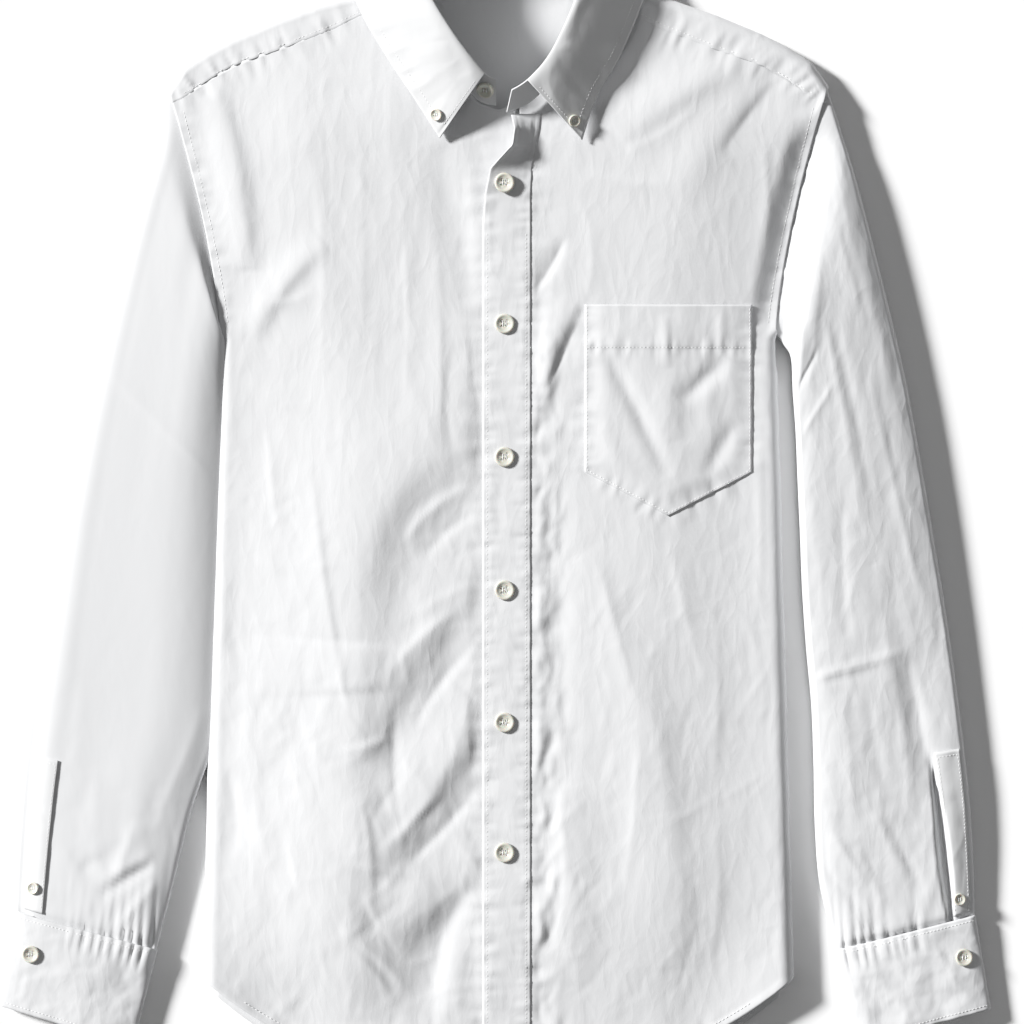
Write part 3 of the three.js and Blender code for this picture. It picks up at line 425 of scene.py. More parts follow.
def finish_mesh(name, mesh, material, smooth_shaded=True):
    data = bpy.data.meshes.new(name)
    mesh.to_mesh(data)
    mesh.free()
    data.polygons.foreach_set("use_smooth", [smooth_shaded] * len(data.polygons))
    piece = bpy.data.objects.new(name, data)
    bpy.context.scene.collection.objects.link(piece)
    data.materials.append(material)
    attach(piece, "root")
    return piece


# ---- Materials ----

def node_group(name, inputs, outputs):
    """A node group with named number inputs (name, value) and named number outputs."""
    group = bpy.data.node_groups.new(name, "ShaderNodeTree")
    for socket, kind, value in inputs:
        made = group.interface.new_socket(socket, in_out="INPUT", socket_type=kind)
        if value is not None:
            made.default_value = value
    for socket, kind in outputs:
        group.interface.new_socket(socket, in_out="OUTPUT", socket_type=kind)
    return group, group.nodes.new("NodeGroupInput"), group.nodes.new("NodeGroupOutput")


def maths(tree, operation, first, second=None):
    node = tree.nodes.new("ShaderNodeMath")
    node.operation = operation
    for socket, value in zip(node.inputs, (first, second)):
        if value is None:
            continue
        if isinstance(value, bpy.types.NodeSocket):
            tree.links.new(value, socket)
        else:
            socket.default_value = value
    return node.outputs[0]


def weave_group():
    """Plain weave: height of the threads over and under each other, from the cut's own UV map in metres."""
    group, given, result = node_group(
        "plain weave", [("Thread pitch", "NodeSocketFloat", 0.0005)], [("Height", "NodeSocketFloat")])
    place = group.nodes.new("ShaderNodeTexCoord")
    split = group.nodes.new("ShaderNodeSeparateXYZ")
    group.links.new(place.outputs["UV"], split.inputs[0])
    waves = []
    for axis in ("X", "Y"):
        turns = maths(group, "DIVIDE", split.outputs[axis], given.outputs["Thread pitch"])
        waves.append(maths(group, "SINE", maths(group, "MULTIPLY", turns, math.pi)))
    group.links.new(maths(group, "MULTIPLY", *waves), result.inputs["Height"])
    return group


def cloudy(tree, vector, scale, detail):
    """Soft even noise at a scale in metres."""
    clouds = tree.nodes.new("ShaderNodeTexNoise")
    clouds.inputs["Scale"].default_value = scale
    clouds.inputs["Detail"].default_value = detail
    tree.links.new(vector, clouds.inputs["Vector"])
    return clouds


def crumple_group():
    """Fine creases: soft lumps and crisp little ridges that run mostly along the cloth."""
    group, given, result = node_group(
        "fine creases", [("Ridges", "NodeSocketFloat", 1.0)],
        [("Height", "NodeSocketFloat"), ("Wear", "NodeSocketFloat")])
    place = group.nodes.new("ShaderNodeTexCoord")
    scale = group.nodes.new("ShaderNodeMapping")
    scale.inputs["Scale"].default_value = (1, 0.45, 1)
    group.links.new(place.outputs["Object"], scale.inputs["Vector"])
    bend = cloudy(group, scale.outputs[0], 38, 2)
    mix = group.nodes.new("ShaderNodeMix")
    mix.data_type = "VECTOR"
    mix.inputs["Factor"].default_value = 0.02
    group.links.new(scale.outputs[0], mix.inputs["A"])
    group.links.new(bend.outputs["Color"], mix.inputs["B"])
    lumps = cloudy(group, mix.outputs["Result"], 170, 3)
    cells = group.nodes.new("ShaderNodeTexVoronoi")
    cells.feature = "F1"
    cells.inputs["Scale"].default_value = 105
    group.links.new(mix.outputs["Result"], cells.inputs["Vector"])
    ridges = maths(group, "MULTIPLY", cells.outputs["Distance"], given.outputs["Ridges"])
    height = maths(group, "ADD", maths(group, "MULTIPLY", lumps.outputs["Fac"], 0.7), ridges)
    group.links.new(height, result.inputs["Height"])
    group.links.new(cloudy(group, place.outputs["Object"], 9, 4).outputs["Fac"], result.inputs["Wear"])
    return group


WEAVE = weave_group()
CRUMPLE = crumple_group()
WEAVE_STRENGTH = 0.12
WEAVE_DEPTH = 0.00004  # metres


def start_material(name, settings):
    """A new material with its surface's settings."""
    material = bpy.data.materials.new(name)
    material.use_nodes = True
    tree = material.node_tree
    shader = tree.nodes["Principled BSDF"]
    for socket, value in settings.items():
        shader.inputs[socket].default_value = value
    return material, tree, shader


def tint(tree, shader, mask, dark, light):
    """Colours the surface between two close tones."""
    tones = tree.nodes.new("ShaderNodeMix")
    tones.data_type = "RGBA"
    tones.inputs["A"].default_value = (*dark, 1)
    tones.inputs["B"].default_value = (*light, 1)
    tree.links.new(mask, tones.inputs["Factor"])
    tree.links.new(tones.outputs["Result"], shader.inputs["Base Color"])


def raised(tree, height, distance, strength=1):
    """A bump with its depth in metres."""
    bump = tree.nodes.new("ShaderNodeBump")
    bump.inputs["Strength"].default_value = strength
    bump.inputs["Distance"].default_value = distance
    tree.links.new(height, bump.inputs["Height"])
    return bump


def poplin(name, colour, shade, creases, ridges):
    """White cotton poplin. creases is the depth of the finest creases in millimetres."""
    material, tree, shader = start_material(name, {
        "Roughness": 0.82, "Specular IOR Level": 0.25, "Sheen Weight": 0.08, "Sheen Roughness": 0.6})
    crumple = tree.nodes.new("ShaderNodeGroup")
    crumple.node_tree = CRUMPLE
    crumple.inputs["Ridges"].default_value = ridges
    weave = tree.nodes.new("ShaderNodeGroup")
    weave.node_tree = WEAVE
    tint(tree, shader, crumple.outputs["Wear"], shade, colour)
    folds = raised(tree, crumple.outputs["Height"], creases * MM)
    threads = raised(tree, weave.outputs["Height"], WEAVE_DEPTH, WEAVE_STRENGTH)
    tree.links.new(folds.outputs["Normal"], threads.inputs["Normal"])
    tree.links.new(threads.outputs["Normal"], shader.inputs["Normal"])
    return material


def mottled(name, settings, scale, detail, dark, light):
    """A material in two close tones, mottled finely over the piece."""
    material, tree, shader = start_material(name, settings)
    place = tree.nodes.new("ShaderNodeTexCoord")
    tint(tree, shader, cloudy(tree, place.outputs["Object"], scale, detail).outputs["Fac"], dark, light)
    return material


BODY_POPLIN = poplin("white poplin", (0.705, 0.71, 0.72), (0.685, 0.69, 0.7), 0.25, 0.9)
CREASED_POPLIN = poplin("creased poplin", (0.705, 0.71, 0.72), (0.685, 0.69, 0.7), 0.3, 1.0)
SMOOTH_POPLIN = poplin("smooth poplin", (0.7, 0.705, 0.715), (0.68, 0.685, 0.695), 0.08, 0.3)
STIFF_POPLIN = poplin("interlined poplin", (0.7, 0.705, 0.71), (0.68, 0.685, 0.69), 0.15, 0.4)
THREAD = mottled("white thread", {"Roughness": 0.6}, 2500, 2, (0.84, 0.84, 0.84), (0.93, 0.93, 0.92))
BUTTON = mottled("cream button", {
    "Roughness": 0.3, "Coat Weight": 0.2, "Coat Roughness": 0.25, "Subsurface Weight": 0.15,
    "Subsurface Scale": 0.002,
}, 260, 3, (0.56, 0.55, 0.47), (0.7, 0.69, 0.61))


# ---- Fronts ----

FRONT_LEFT_START = 15
FRONT_RIGHT_START = -13
TOP_COLUMNS, ROLL_COLUMNS, FLAP_COLUMNS = 13, 5, 2
SIDE_COLUMNS = ROLL_COLUMNS + FLAP_COLUMNS
LAST_COLUMN = TOP_COLUMNS + SIDE_COLUMNS


def front_distance(column, y, start):
    roll_start = half_width(y) - EDGE_HALF
    armhole = armhole_x(y) - start
    step = column - TOP_COLUMNS
    below = np.where(
        column <= TOP_COLUMNS, lerp(start, roll_start, column / TOP_COLUMNS),
        np.where(step <= ROLL_COLUMNS, roll_start + EDGE_ROLL * step / ROLL_COLUMNS,
                 roll_start + EDGE_ROLL + FLAP * (step - ROLL_COLUMNS) / FLAP_COLUMNS))
    beside = np.where(
        column <= TOP_COLUMNS, start + armhole * 0.8 * column / TOP_COLUMNS,
        start + armhole * lerp(0.8, 1, step / SIDE_COLUMNS))
    return lerp(below, beside, smooth(y, UNDERARM_Y - 60, UNDERARM_Y - 25))


def lay_front(distance, y, side):
    """Over the front, round the rolled side edge and in again on the floor."""
    over_edge = smooth(y, UNDERARM_Y - 5, UNDERARM_Y + 15)
    roll_start = lerp(half_width(y) - EDGE_HALF, armhole_x(y) + 15, over_edge)
    top = front_surface(side * roll_start, y)
    roll_height = (top - FLOOR_Z) / 2
    roll_length = math.pi * (EDGE_HALF + roll_height) / 2
    past = distance - roll_start
    turn = math.pi * np.clip(past / roll_length, 0, 1)
    wave = 0.7 * noise(y / 34, side * 3.1, 51) * np.sin(turn)
    rolled_x = roll_start + (EDGE_HALF + wave) * np.sin(turn)
    flap_x = roll_start + roll_length - past
    x = np.where(past <= 0, distance, np.where(past <= roll_length, rolled_x, flap_x))
    rolled_z = FLOOR_Z + roll_height * (1 + np.cos(turn))
    return side * x, np.where(past <= 0, front_surface(side * np.minimum(distance, roll_start), y), rolled_z)


def place_front(side, start):
    def place(across, up):
        column = np.interp(across, [0, 0.8, 0.91, 1], [0, TOP_COLUMNS, TOP_COLUMNS + ROLL_COLUMNS, LAST_COLUMN])
        outer_y = lerp(SIDE_HEM_Y, SHOULDER_SEAM_END_Y, up)
        distance = front_distance(column, outer_y, start)
        out = np.clip(distance / front_distance(np.full_like(column, LAST_COLUMN), outer_y, start), 0, 1)
        middle_y = lerp(FRONT_HEM_Y, CENTRE_NECK_Y, up)
        reach = np.abs(distance)
        hem_shape = hem_y(reach, FRONT_HEM_Y) - lerp(FRONT_HEM_Y, SIDE_HEM_Y, out)
        top_shape = front_top_y(reach) - lerp(CENTRE_NECK_Y, SHOULDER_SEAM_END_Y, out)
        y = lerp(middle_y, outer_y, out) + hem_shape * (1 - up) ** 3 + top_shape * up ** 3
        x, z = lay_front(distance, y, side)
        return x, y, z
    return place


for front_name, front_side, front_start in (
        ("front_left", 1, FRONT_LEFT_START), ("front_right", -1, FRONT_RIGHT_START)):
    cloth(front_name + "_cloth", [front_name], 300, 124, place_front(front_side, front_start),
          (0.262, 0.76), BODY_POPLIN)


# ---- Back ----

BACK_EDGE, BACK_EDGE_MORE, BACK_TURN = 11.5, 14, 1.4
BACK_FLAP_Z = FLOOR_Z + 1.3
BACK_RUN, BACK_TURN_COLUMNS = 9, 3
BACK_COLUMNS = BACK_RUN + BACK_TURN_COLUMNS + 1


def back_comes_down(y):
    return smooth(y, UNDERARM_Y - 28, UNDERARM_Y - 3)


def back_edge_x(y):
    return half_width(y) - BACK_EDGE - BACK_EDGE_MORE * smooth(y, UNDERARM_Y - 85, UNDERARM_Y - 55)


def back_distance(column, y):
    turn_x = back_edge_x(y)
    seam_x = half_width(y) - EDGE_HALF - FLAP
    wide = BACK_RUN - 4
    turn_length = math.pi * BACK_TURN
    below = np.where(
        column <= wide, (seam_x - 16) * column / wide,
        np.where(column <= BACK_RUN, lerp(seam_x - 16, turn_x, (np.clip(column - wide, 0, 4) / 4) ** 1.3),
                 np.where(column <= BACK_RUN + BACK_TURN_COLUMNS,
                          turn_x + turn_length * (column - BACK_RUN) / BACK_TURN_COLUMNS,
                          turn_x + turn_length + (turn_x - seam_x) * (column - BACK_RUN - BACK_TURN_COLUMNS))))
    beside = lerp(turn_x - 1, armhole_x(y), back_comes_down(y)) * column / BACK_COLUMNS
    return lerp(below, beside, smooth(y, UNDERARM_Y - 100, UNDERARM_Y - 55))


def lay_back(distance, y):
    down = back_comes_down(y)
    turn_x = lerp(back_edge_x(y), armhole_x(y) + 5, down)
    seam_x = half_width(y) - EDGE_HALF - FLAP
    up_z = FLOOR_Z + (BACK_FLAP_Z - FLOOR_Z + 2 * BACK_TURN) * (1 - down)
    past = distance - turn_x
    turn_length = math.pi * BACK_TURN
    turn = np.clip(past / BACK_TURN, 0, math.pi)
    x = np.where(past <= 0, distance, np.where(past <= turn_length, turn_x + BACK_TURN * np.sin(turn),
                                               turn_x - (past - turn_length)))
    z = np.where(past <= 0, lerp(FLOOR_Z, up_z, smooth(distance, seam_x - 16, seam_x - 3)),
                 BACK_FLAP_Z + BACK_TURN * (1 + np.cos(turn)))
    return x, z


def place_back(across, up):
    side = np.sign(across - 0.5)
    column = np.abs(across - 0.5) * 2 * BACK_COLUMNS
    outer_y = lerp(SIDE_HEM_Y, BACK_YOKE_Y - 0.3, up)
    distance = back_distance(column, outer_y)
    out = distance / back_distance(np.full_like(column, BACK_COLUMNS), outer_y)
    hem_shape = hem_y(distance, BACK_HEM_Y) - lerp(BACK_HEM_Y, SIDE_HEM_Y, out)
    y = lerp(lerp(BACK_HEM_Y, BACK_YOKE_Y - 0.3, up), outer_y, out) + hem_shape * (1 - up) ** 3
    x, z = lay_back(distance, y)
    ripple = 0.12 * noise(side * x / 9, y / 26, 61) * (1 - smooth(z, 0.6, 1.5))
    return side * x, y, z + np.abs(ripple)


cloth("back_cloth", ["back"], 140, 110, place_back, (0.5, 0.68), BODY_POPLIN)


# ---- Yoke ----

YOKE_BACK, YOKE_ROLL, YOKE_STRIP = 3, 5, 2
YOKE_ROWS = YOKE_BACK + YOKE_ROLL + YOKE_STRIP
YOKE_REACH = [(0, -0.2), (34, 0), (44, 0.08), (50, 0.2), (53, 0.55), (NECK_HALF, 1), (229, 1)]
YOKE_OVERLAP = 2.4  # its turned edge lies this far over the front
YOKE_HALF = 229


def place_yoke(across, along):
    signed = (across - 0.5) * 2
    side = np.sign(signed)
    x = np.abs(signed) * YOKE_HALF
    row = along * YOKE_ROWS
    fold_y = shoulder_y(x)
    top = plain_front(side * x, fold_y - SHOULDER_HALF)
    roll_height = (top - FLOOR_Z) / 2
    roll_length = math.pi * (SHOULDER_HALF + roll_height) / 2
    back_run = fold_y - SHOULDER_HALF - BACK_YOKE_Y
    strip = fold_y - SHOULDER_HALF - front_top_y(x) + YOKE_OVERLAP
    reach = read(YOKE_REACH, x)
    over = np.maximum(reach, 0) * (roll_length + strip)
    back_length = back_run + np.minimum(reach, 0) * 30
    step = np.clip(row - YOKE_BACK, 0, None)
    full = np.where(step <= YOKE_ROLL, roll_length * step / YOKE_ROLL,
                    roll_length + strip * (step - YOKE_ROLL) / YOKE_STRIP)
    short = 1 - 0.2 * (1 - np.clip(reach, 0, 1)) * (1 - step / (YOKE_ROLL + YOKE_STRIP))
    beyond = back_length * short + full * over / (roll_length + strip)
    beyond = np.where(reach < 1, np.maximum(beyond, back_length * (1 + 0.002 * step)), beyond)
    length = np.where(row <= YOKE_BACK, back_length * row / YOKE_BACK, beyond)
    turn = math.pi * np.clip((length - back_run) / roll_length, 0, 1)
    past = length - back_run - roll_length
    y = np.where(length <= back_run, BACK_YOKE_Y + length,
                 np.where(past <= 0, fold_y - SHOULDER_HALF + SHOULDER_HALF * np.sin(turn),
                          fold_y - SHOULDER_HALF - past))
    relief = yoke_relief(side * x, y)
    on_top = smooth(past, -8, 4)
    z = np.where(length <= back_run, FLOOR_Z,
                 np.where(past <= 0, FLOOR_Z + roll_height * (1 - np.cos(turn)), plain_front(side * x, y)))
    shared = front_surface(side * x, y) - plain_front(side * x, y)
    outer = lerp(1, armhole_x(y) / armhole_x(SHOULDER_SEAM_END_Y), smooth(x, 110, 228))
    return side * x * outer, y, z + (relief + shared) * on_top


def yoke_relief(x, y):
    relief = 0.3 * noise(x / 30, y / 30, 71) * smooth(y - front_top_y(x), 4, 20)
    from_edge = y - front_top_y(x)
    raised = 0.3 * (1 - smooth(from_edge, 2, 14)) - 0.4 * (1 - smooth(from_edge, -YOKE_OVERLAP, -0.9))
    return relief * smooth(230 - np.abs(x), 0, 14) + raised


cloth("yoke_cloth", ["yoke"], 100, 290, place_yoke, (0.47, 0.2), BODY_POPLIN)


# ---- Sleeves ----

# outer x, y, inner x, y of the flattened tube
LEFT_SECTIONS = [
    (232.1, 297.5, 195.9, 126), (240, 268, 200, 118), (251, 232, 205.6, 108), (262, 190, 207, 84),
    (273, 146, 209, 56), (285, 95, 210.4, 22), (296, 36, 212, -14), (305, -17, 213.6, -55),
    (313, -66, 216.4, -96), (320, -114, 220, -136), (326, -162, 221.6, -178), (330.5, -204, 222.4, -218),
    (333, -245, 226, -262), (334, -285, 238, -309),
]
RIGHT_SECTIONS = [
    (-232.1, 297.5, -195.9, 126), (-238, 275, -196.8, 118), (-248, 245, -197.4, 104), (-260, 203, -198.2, 82),
    (-272, 155, -198.8, 57), (-284, 105, -199.6, 26), (-296, 50, -200.6, -13), (-306, -1, -201.7, -55),
    (-314, -55, -202.8, -97), (-322, -104, -204.0, -135), (-329, -153, -205.4, -176), (-333, -195, -216, -212),
    (-336, -237, -227, -257), (-338.1, -282.8, -240.1, -308.7),
]
# height of the sleeve's upper side at shares of its width from the outer edge, in rows by share of its length
ACROSS_SHARES = [0.03, 0.12, 0.22, 0.32, 0.44, 0.56, 0.68, 0.8, 0.9, 0.97]
LEFT_HEIGHTS = {
    0: [15, 18, 19.4, 20, 20.5, 20, 17, 13, 12, 10], 0.07: [15, 18, 19.4, 20, 21, 21.5, 20, 16, 13, 11],
    0.14: [15.5, 18.5, 20.4, 21.5, 23, 24.5, 25.5, 25.5, 24.5, 21],
    0.25: [16, 19, 20.8, 22, 23.2, 24.2, 24.8, 25.2, 25.2, 24.6],
    0.38: [15.5, 18.2, 19.8, 21.2, 23, 24, 24.6, 25, 25, 24.4],
    0.5: [15, 17.4, 18.8, 20.2, 21.8, 23, 23.6, 24, 24, 23.2],
    0.7: [13.6, 15.2, 15.6, 16.4, 18, 19.4, 20.2, 20.6, 20.4, 19.6],
    0.85: [13, 14.8, 15, 15.4, 16.6, 17.6, 18.2, 18.6, 18.4, 17],
    1: [10, 12.8, 13.2, 13.4, 13.6, 13.8, 13.8, 13.6, 13, 11],
}
RIGHT_HEIGHTS = {
    0: [10, 14.5, 16, 17, 18, 18.5, 19.5, 20, 19, 15], 0.12: [10, 14.8, 16, 17, 18, 18.5, 19.5, 19.6, 17.5, 14],
    0.3: [10.5, 14.6, 15.8, 16.6, 17.4, 18.2, 18.8, 17.8, 15.4, 13],
    0.5: [10.5, 14.2, 15, 15.6, 16.2, 17, 17.4, 16.6, 14.4, 12],
    0.7: [9.5, 13.2, 13.8, 14.2, 14.8, 15.4, 16, 15.2, 13.4, 11],
    0.85: [8.5, 12, 12.8, 13.2, 13.8, 14.6, 15, 14, 12.6, 11],
    1: [8, 11.2, 12.2, 12.8, 13, 13, 13, 12.8, 12.4, 10],
}
# from share, across, to share, across, width, height: creases by share of length and of width
LEFT_CREASES = [
    (0.655, 0.98, 0.652, 0.3, 3, 1.5), (0.664, 0.98, 0.662, 0.5, 3.5, -1.2),
    (0.235, 0.95, 0.235, 0.72, 3, -1.4), (0.32, 0.94, 0.31, 0.62, 3.5, 1.0), (0.2, 0.6, 0.5, 0.5, 4, 1.3),
    (0.25, 0.5, 0.48, 0.42, 3.5, -1.1),
    (0.35, 0.3, 0.6, 0.16, 4, 1.2), (0.66, 0.31, 0.84, 0.23, 4, -1.6), (0.6, 0.45, 0.86, 0.36, 4, 1.1),
    (0.45, 0.66, 0.62, 0.72, 4, -1.2), (0.84, 0.62, 0.93, 0.42, 3, 1.8), (0.85, 0.56, 0.95, 0.34, 3, -1.4),
    (0.86, 0.9, 0.93, 0.7, 3, 1.8), (0.9, 0.98, 0.955, 0.76, 3, -1.6), (0.68, 0.8, 0.86, 0.74, 4, 1.0),
    (0.12, 0.3, 0.3, 0.24, 4, 0.8), (0.7, 0.62, 0.82, 0.54, 3.5, -1.1), (0.88, 0.75, 0.96, 0.6, 2.6, 1.4),
]
RIGHT_CREASES = [
    (0.38, 0.1, 0.4, 0.9, 3.5, 0.4), (0.955, 0.55, 0.912, 0.86, 2.6, -2.4), (0.944, 0.53, 0.9, 0.84, 3, 1.6),
    (0.935, 0.42, 0.915, 0.5, 2.5, -1.3), (0.915, 0.5, 0.93, 0.65, 2.5, -1.3), (0.7, 0.9, 0.88, 0.82, 4, 0.7),
    (0.86, 0.7, 0.97, 0.6, 3, 1.2), (0.93, 0.9, 0.975, 0.72, 3, 1.4), (0.8, 0.4, 0.93, 0.5, 4, 0.7),
    (0.7, 0.25, 0.86, 0.3, 4, 0.4),
]
SLEEVE_RUN = 480
SLIT_DEPTH = 7
SLIT = [(0.76, 0.235), (0.86, 0.2), (1, 0.165)]  # share of length and of width: the slit beside the strip


def sleeve_height(side, share, across):
    table = LEFT_HEIGHTS if side > 0 else RIGHT_HEIGHTS
    rows = np.array([flowing(ACROSS_SHARES, heights, across) for heights in table.values()])
    return flowing(list(table), rows, share)


def gathers(side, reach):
    """Small pleats where the sleeve is drawn into its cuff, by millimetres across."""
    swing = 2.2 * noise(reach / 16, reach * 0 + 0.4, 86 if side > 0 else 96)
    return np.abs(np.sin(reach / 7.2 * math.pi + swing)) ** 0.7 - 0.5


def between(sections, share, column):
    """A smooth value of one column between the sections of a table."""
    values = np.array([row[column] for row in sections], float)
    last = len(values) - 1
    spot = np.clip(share, 0, 1) * last
    row = np.minimum(np.floor(spot).astype(int), last - 1)
    before, start, end, after = (values[np.clip(row + step, 0, last)] for step in (-1, 0, 1, 2))
    part = spot - row
    pull, push = (end - before) / 2, (after - start) / 2
    return start + part * (pull + part * (3 * (end - start) - 2 * pull - push
                                          + part * (2 * (start - end) + pull + push)))


def sleeve_creases(creases, share, across):
    relief = np.zeros(np.shape(share))
    for from_share, from_across, to_share, to_across, wide, height in creases:
        line = [(from_across * 100, from_share * SLEEVE_RUN), (to_across * 100, to_share * SLEEVE_RUN)]
        away, along, length = near_line(line, across * 100, share * SLEEVE_RUN)
        ends = np.clip(1 - (np.abs(along / length - 0.5) * 2) ** 4, 0, 1)
        relief += height * ends * np.exp(-(np.abs(away) / (wide * np.where(away > 0, 0.8, 1.5))) ** 1.3)
    return relief


def sleeve_top_relief(side, share, across, width):
    calm = 0.5 if side > 0 else 0.08
    low = smooth(share, 0.35, 0.85) if side > 0 else smooth(share, 0.72, 0.94)
    rough = calm + (0.62 - calm) * low * (1 if side > 0 else 0.8)
    x, y = across * width, share * SLEEVE_RUN
    seed = 81 if side > 0 else 91
    relief = 0.7 * sleeve_creases(LEFT_CREASES if side > 0 else RIGHT_CREASES, share, across)
    relief += rough * (0.7 * noise(x / 26, y / 110, seed) + 0.35 * noise(x / 12, y / 42, seed + 1))
    relief += rough * (0.6 * facets(x / 26, y / 44, seed + 2, 10) + 0.36 * facets(x / 13, y / 20, seed + 3, 60))
    relief += rough * 0.2 * facets(x / 7, y / 10, seed + 4, 120)
    relief += rough * crinkles(x, y, seed + 6, 130, (0, 250, 110, SLEEVE_RUN), (10, 40), (1.6, 2.8),
                               (0.15, 0.45), 80, 45)
    if side > 0:
        slit = (across - read(SLIT, share)) * width
        wedge = lerp(1.5, 3.6, smooth(share, 0.8, 0.9)) * (1 - 0.6 * smooth(share, 0.93, 1))
        relief -= SLIT_DEPTH * np.exp(-(np.abs(slit) / wedge) ** 4) * smooth(share, 0.76, 0.84)
    from_cuff = (1 - share) * SLEEVE_RUN
    full = smooth(across, 0.3, 0.45)
    relief += 2.4 * gathers(side, x) * full * np.exp(-(from_cuff / 20) ** 1.5)
    return relief - 2 * (1 - smooth(from_cuff, 2, 9))


SLEEVE_TUCK = -2.2  # the sleeve's edge runs in under the body's at the armhole
SLEEVE_UNDER = 8  # the wearer's right sleeve lies this far in under the body's rolled side
TUBE_MIDDLE = 6.5
EDGE_LEAN = 0.36


def place_sleeve(side):
    sections = LEFT_SECTIONS if side > 0 else RIGHT_SECTIONS

    def place(around, share):
        out_x, out_y, in_x, in_y = (between(sections, share, column) for column in range(4))
        angle = 2 * math.pi * around
        near_seam = 1 - smooth(share, 0, 0.16)
        across = (1 - np.sign(np.cos(angle)) * np.abs(np.cos(angle)) ** 0.9) / 2
        if side < 0:
            in_x = in_x + SLEEVE_UNDER * smooth(share, 0.01, 0.12) * (1 - smooth(share, 0.7, 0.8))
        y = lerp(out_y, in_y, across)
        straight = lerp(armhole_x(out_y), armhole_x(in_y), across)
        bow = side * (armhole_x(y) - straight + SLEEVE_TUCK * near_seam ** 2)
        x = lerp(out_x, in_x, across) + bow * near_seam ** 3
        lean = np.abs(np.sin(angle))
        low = TUBE_MIDDLE - (TUBE_MIDDLE - FLOOR_Z) * 1.3 * lean ** lerp(0.6, 0.2, near_seam)
        width = np.hypot(out_x - in_x, out_y - in_y)
        shown = smooth(lean, 0.2, 0.6) * smooth(share, 0.02, 0.1)
        relief = sleeve_top_relief(side, share, across, width) * shown
        seam_top = plain_front(side * armhole_x(y), y) - 1.0
        top = lerp(sleeve_height(side, share, across), seam_top, near_seam ** 2) + relief
        rounded = np.minimum(1, lean / EDGE_LEAN) ** lerp(0.5, 0.16, near_seam ** 2)
        upper = TUBE_MIDDLE + (np.maximum(top, TUBE_MIDDLE + 1) - TUBE_MIDDLE) * rounded
        return x, y, np.where(np.sin(angle) < -1e-6, np.maximum(FLOOR_Z, low), upper)
    return place


for sleeve_name, sleeve_side in (("sleeve_left", 1), ("sleeve_right", -1)):
    cloth(sleeve_name + "_cloth", [sleeve_name], 215, 130, place_sleeve(sleeve_side),
          (0.25, 0.5), CREASED_POPLIN if sleeve_side > 0 else SMOOTH_POPLIN, around=True)


# ---- Cuffs ----

# outer x, y, inner x, y, height: at the sleeve and at the free edge
CUFF_ENDS = {
    1: ((334.2, -282.6, 237.4, -306.8, 14.9), (345.1, -348.6, 252, -373.1, 12.5)),
    -1: ((-338, -280.4, -239.2, -306.5, 13.9), (-348.6, -346.5, -256.4, -373.8, 12)),
}
CUFF_WALL = 1.4
CUFF_START = -0.03
CUFF_LAP = 0.14


def place_cuff(side):
    start, end = CUFF_ENDS[side]

    def place(around, share):
        out_x, out_y, in_x, in_y, height = (lerp(a, b, share) for a, b in zip(start, end))
        turned = CUFF_START + around * (1 + CUFF_LAP)
        angle = 2 * math.pi * turned
        lapped = smooth(around, 0.7, 1 - 1.1 * CUFF_LAP) * (CUFF_WALL + 0.6)
        across = (1 - np.cos(angle)) / 2
        middle = (height + CUFF_WALL) / 2
        lean = np.abs(np.sin(angle))
        reach = np.where(np.sin(angle) < 0,
                         np.minimum(middle - CUFF_WALL / 2, (middle - CUFF_WALL / 2) * 1.3 * lean ** 0.7),
                         (height - middle) * lean ** 0.7)
        inward = np.sign(in_x - out_x) * lapped * np.cos(angle)
        ripple = 0.8 * noise(across * 2.2, share * 1.6 + side, 101)
        deep = 1.1 if side > 0 else 0.65
        ripple += 1.1 * deep * facets(across * 3.6, share * 2.6 + side, 102, 30)
        ripple += 0.7 * deep * facets(across * 7, share * 5, 103 + side, 75)
        ripple += 0.25 * facets(across * 16, share * 10, 105 + side, 110)
        drawn = smooth(across, 0.3, 0.45) * np.exp(-((share - 0.08) / 0.13) ** 2)
        ripple += 1.6 * gathers(side, across * 100) * drawn
        edges = 0.3 * (1 - smooth(np.minimum(share, 1 - share) * 64, 2.2, 3.6))
        relief = np.where(np.sin(angle) > 0, (ripple - edges) * smooth(lean, 0.05, 0.5), 0)
        return (lerp(out_x, in_x, across) + inward, lerp(out_y, in_y, across),
                middle + np.sign(np.sin(angle)) * (reach - lapped * lean ** 0.5) + relief)
    return place


for cuff_name, cuff_side in (("cuff_left", 1), ("cuff_right", -1)):
    cloth(cuff_name + "_cloth", [cuff_name], 44, 180, place_cuff(cuff_side), (0.25, 0.065),
          CREASED_POPLIN, thickness=1.1)


# ---- Collar ----

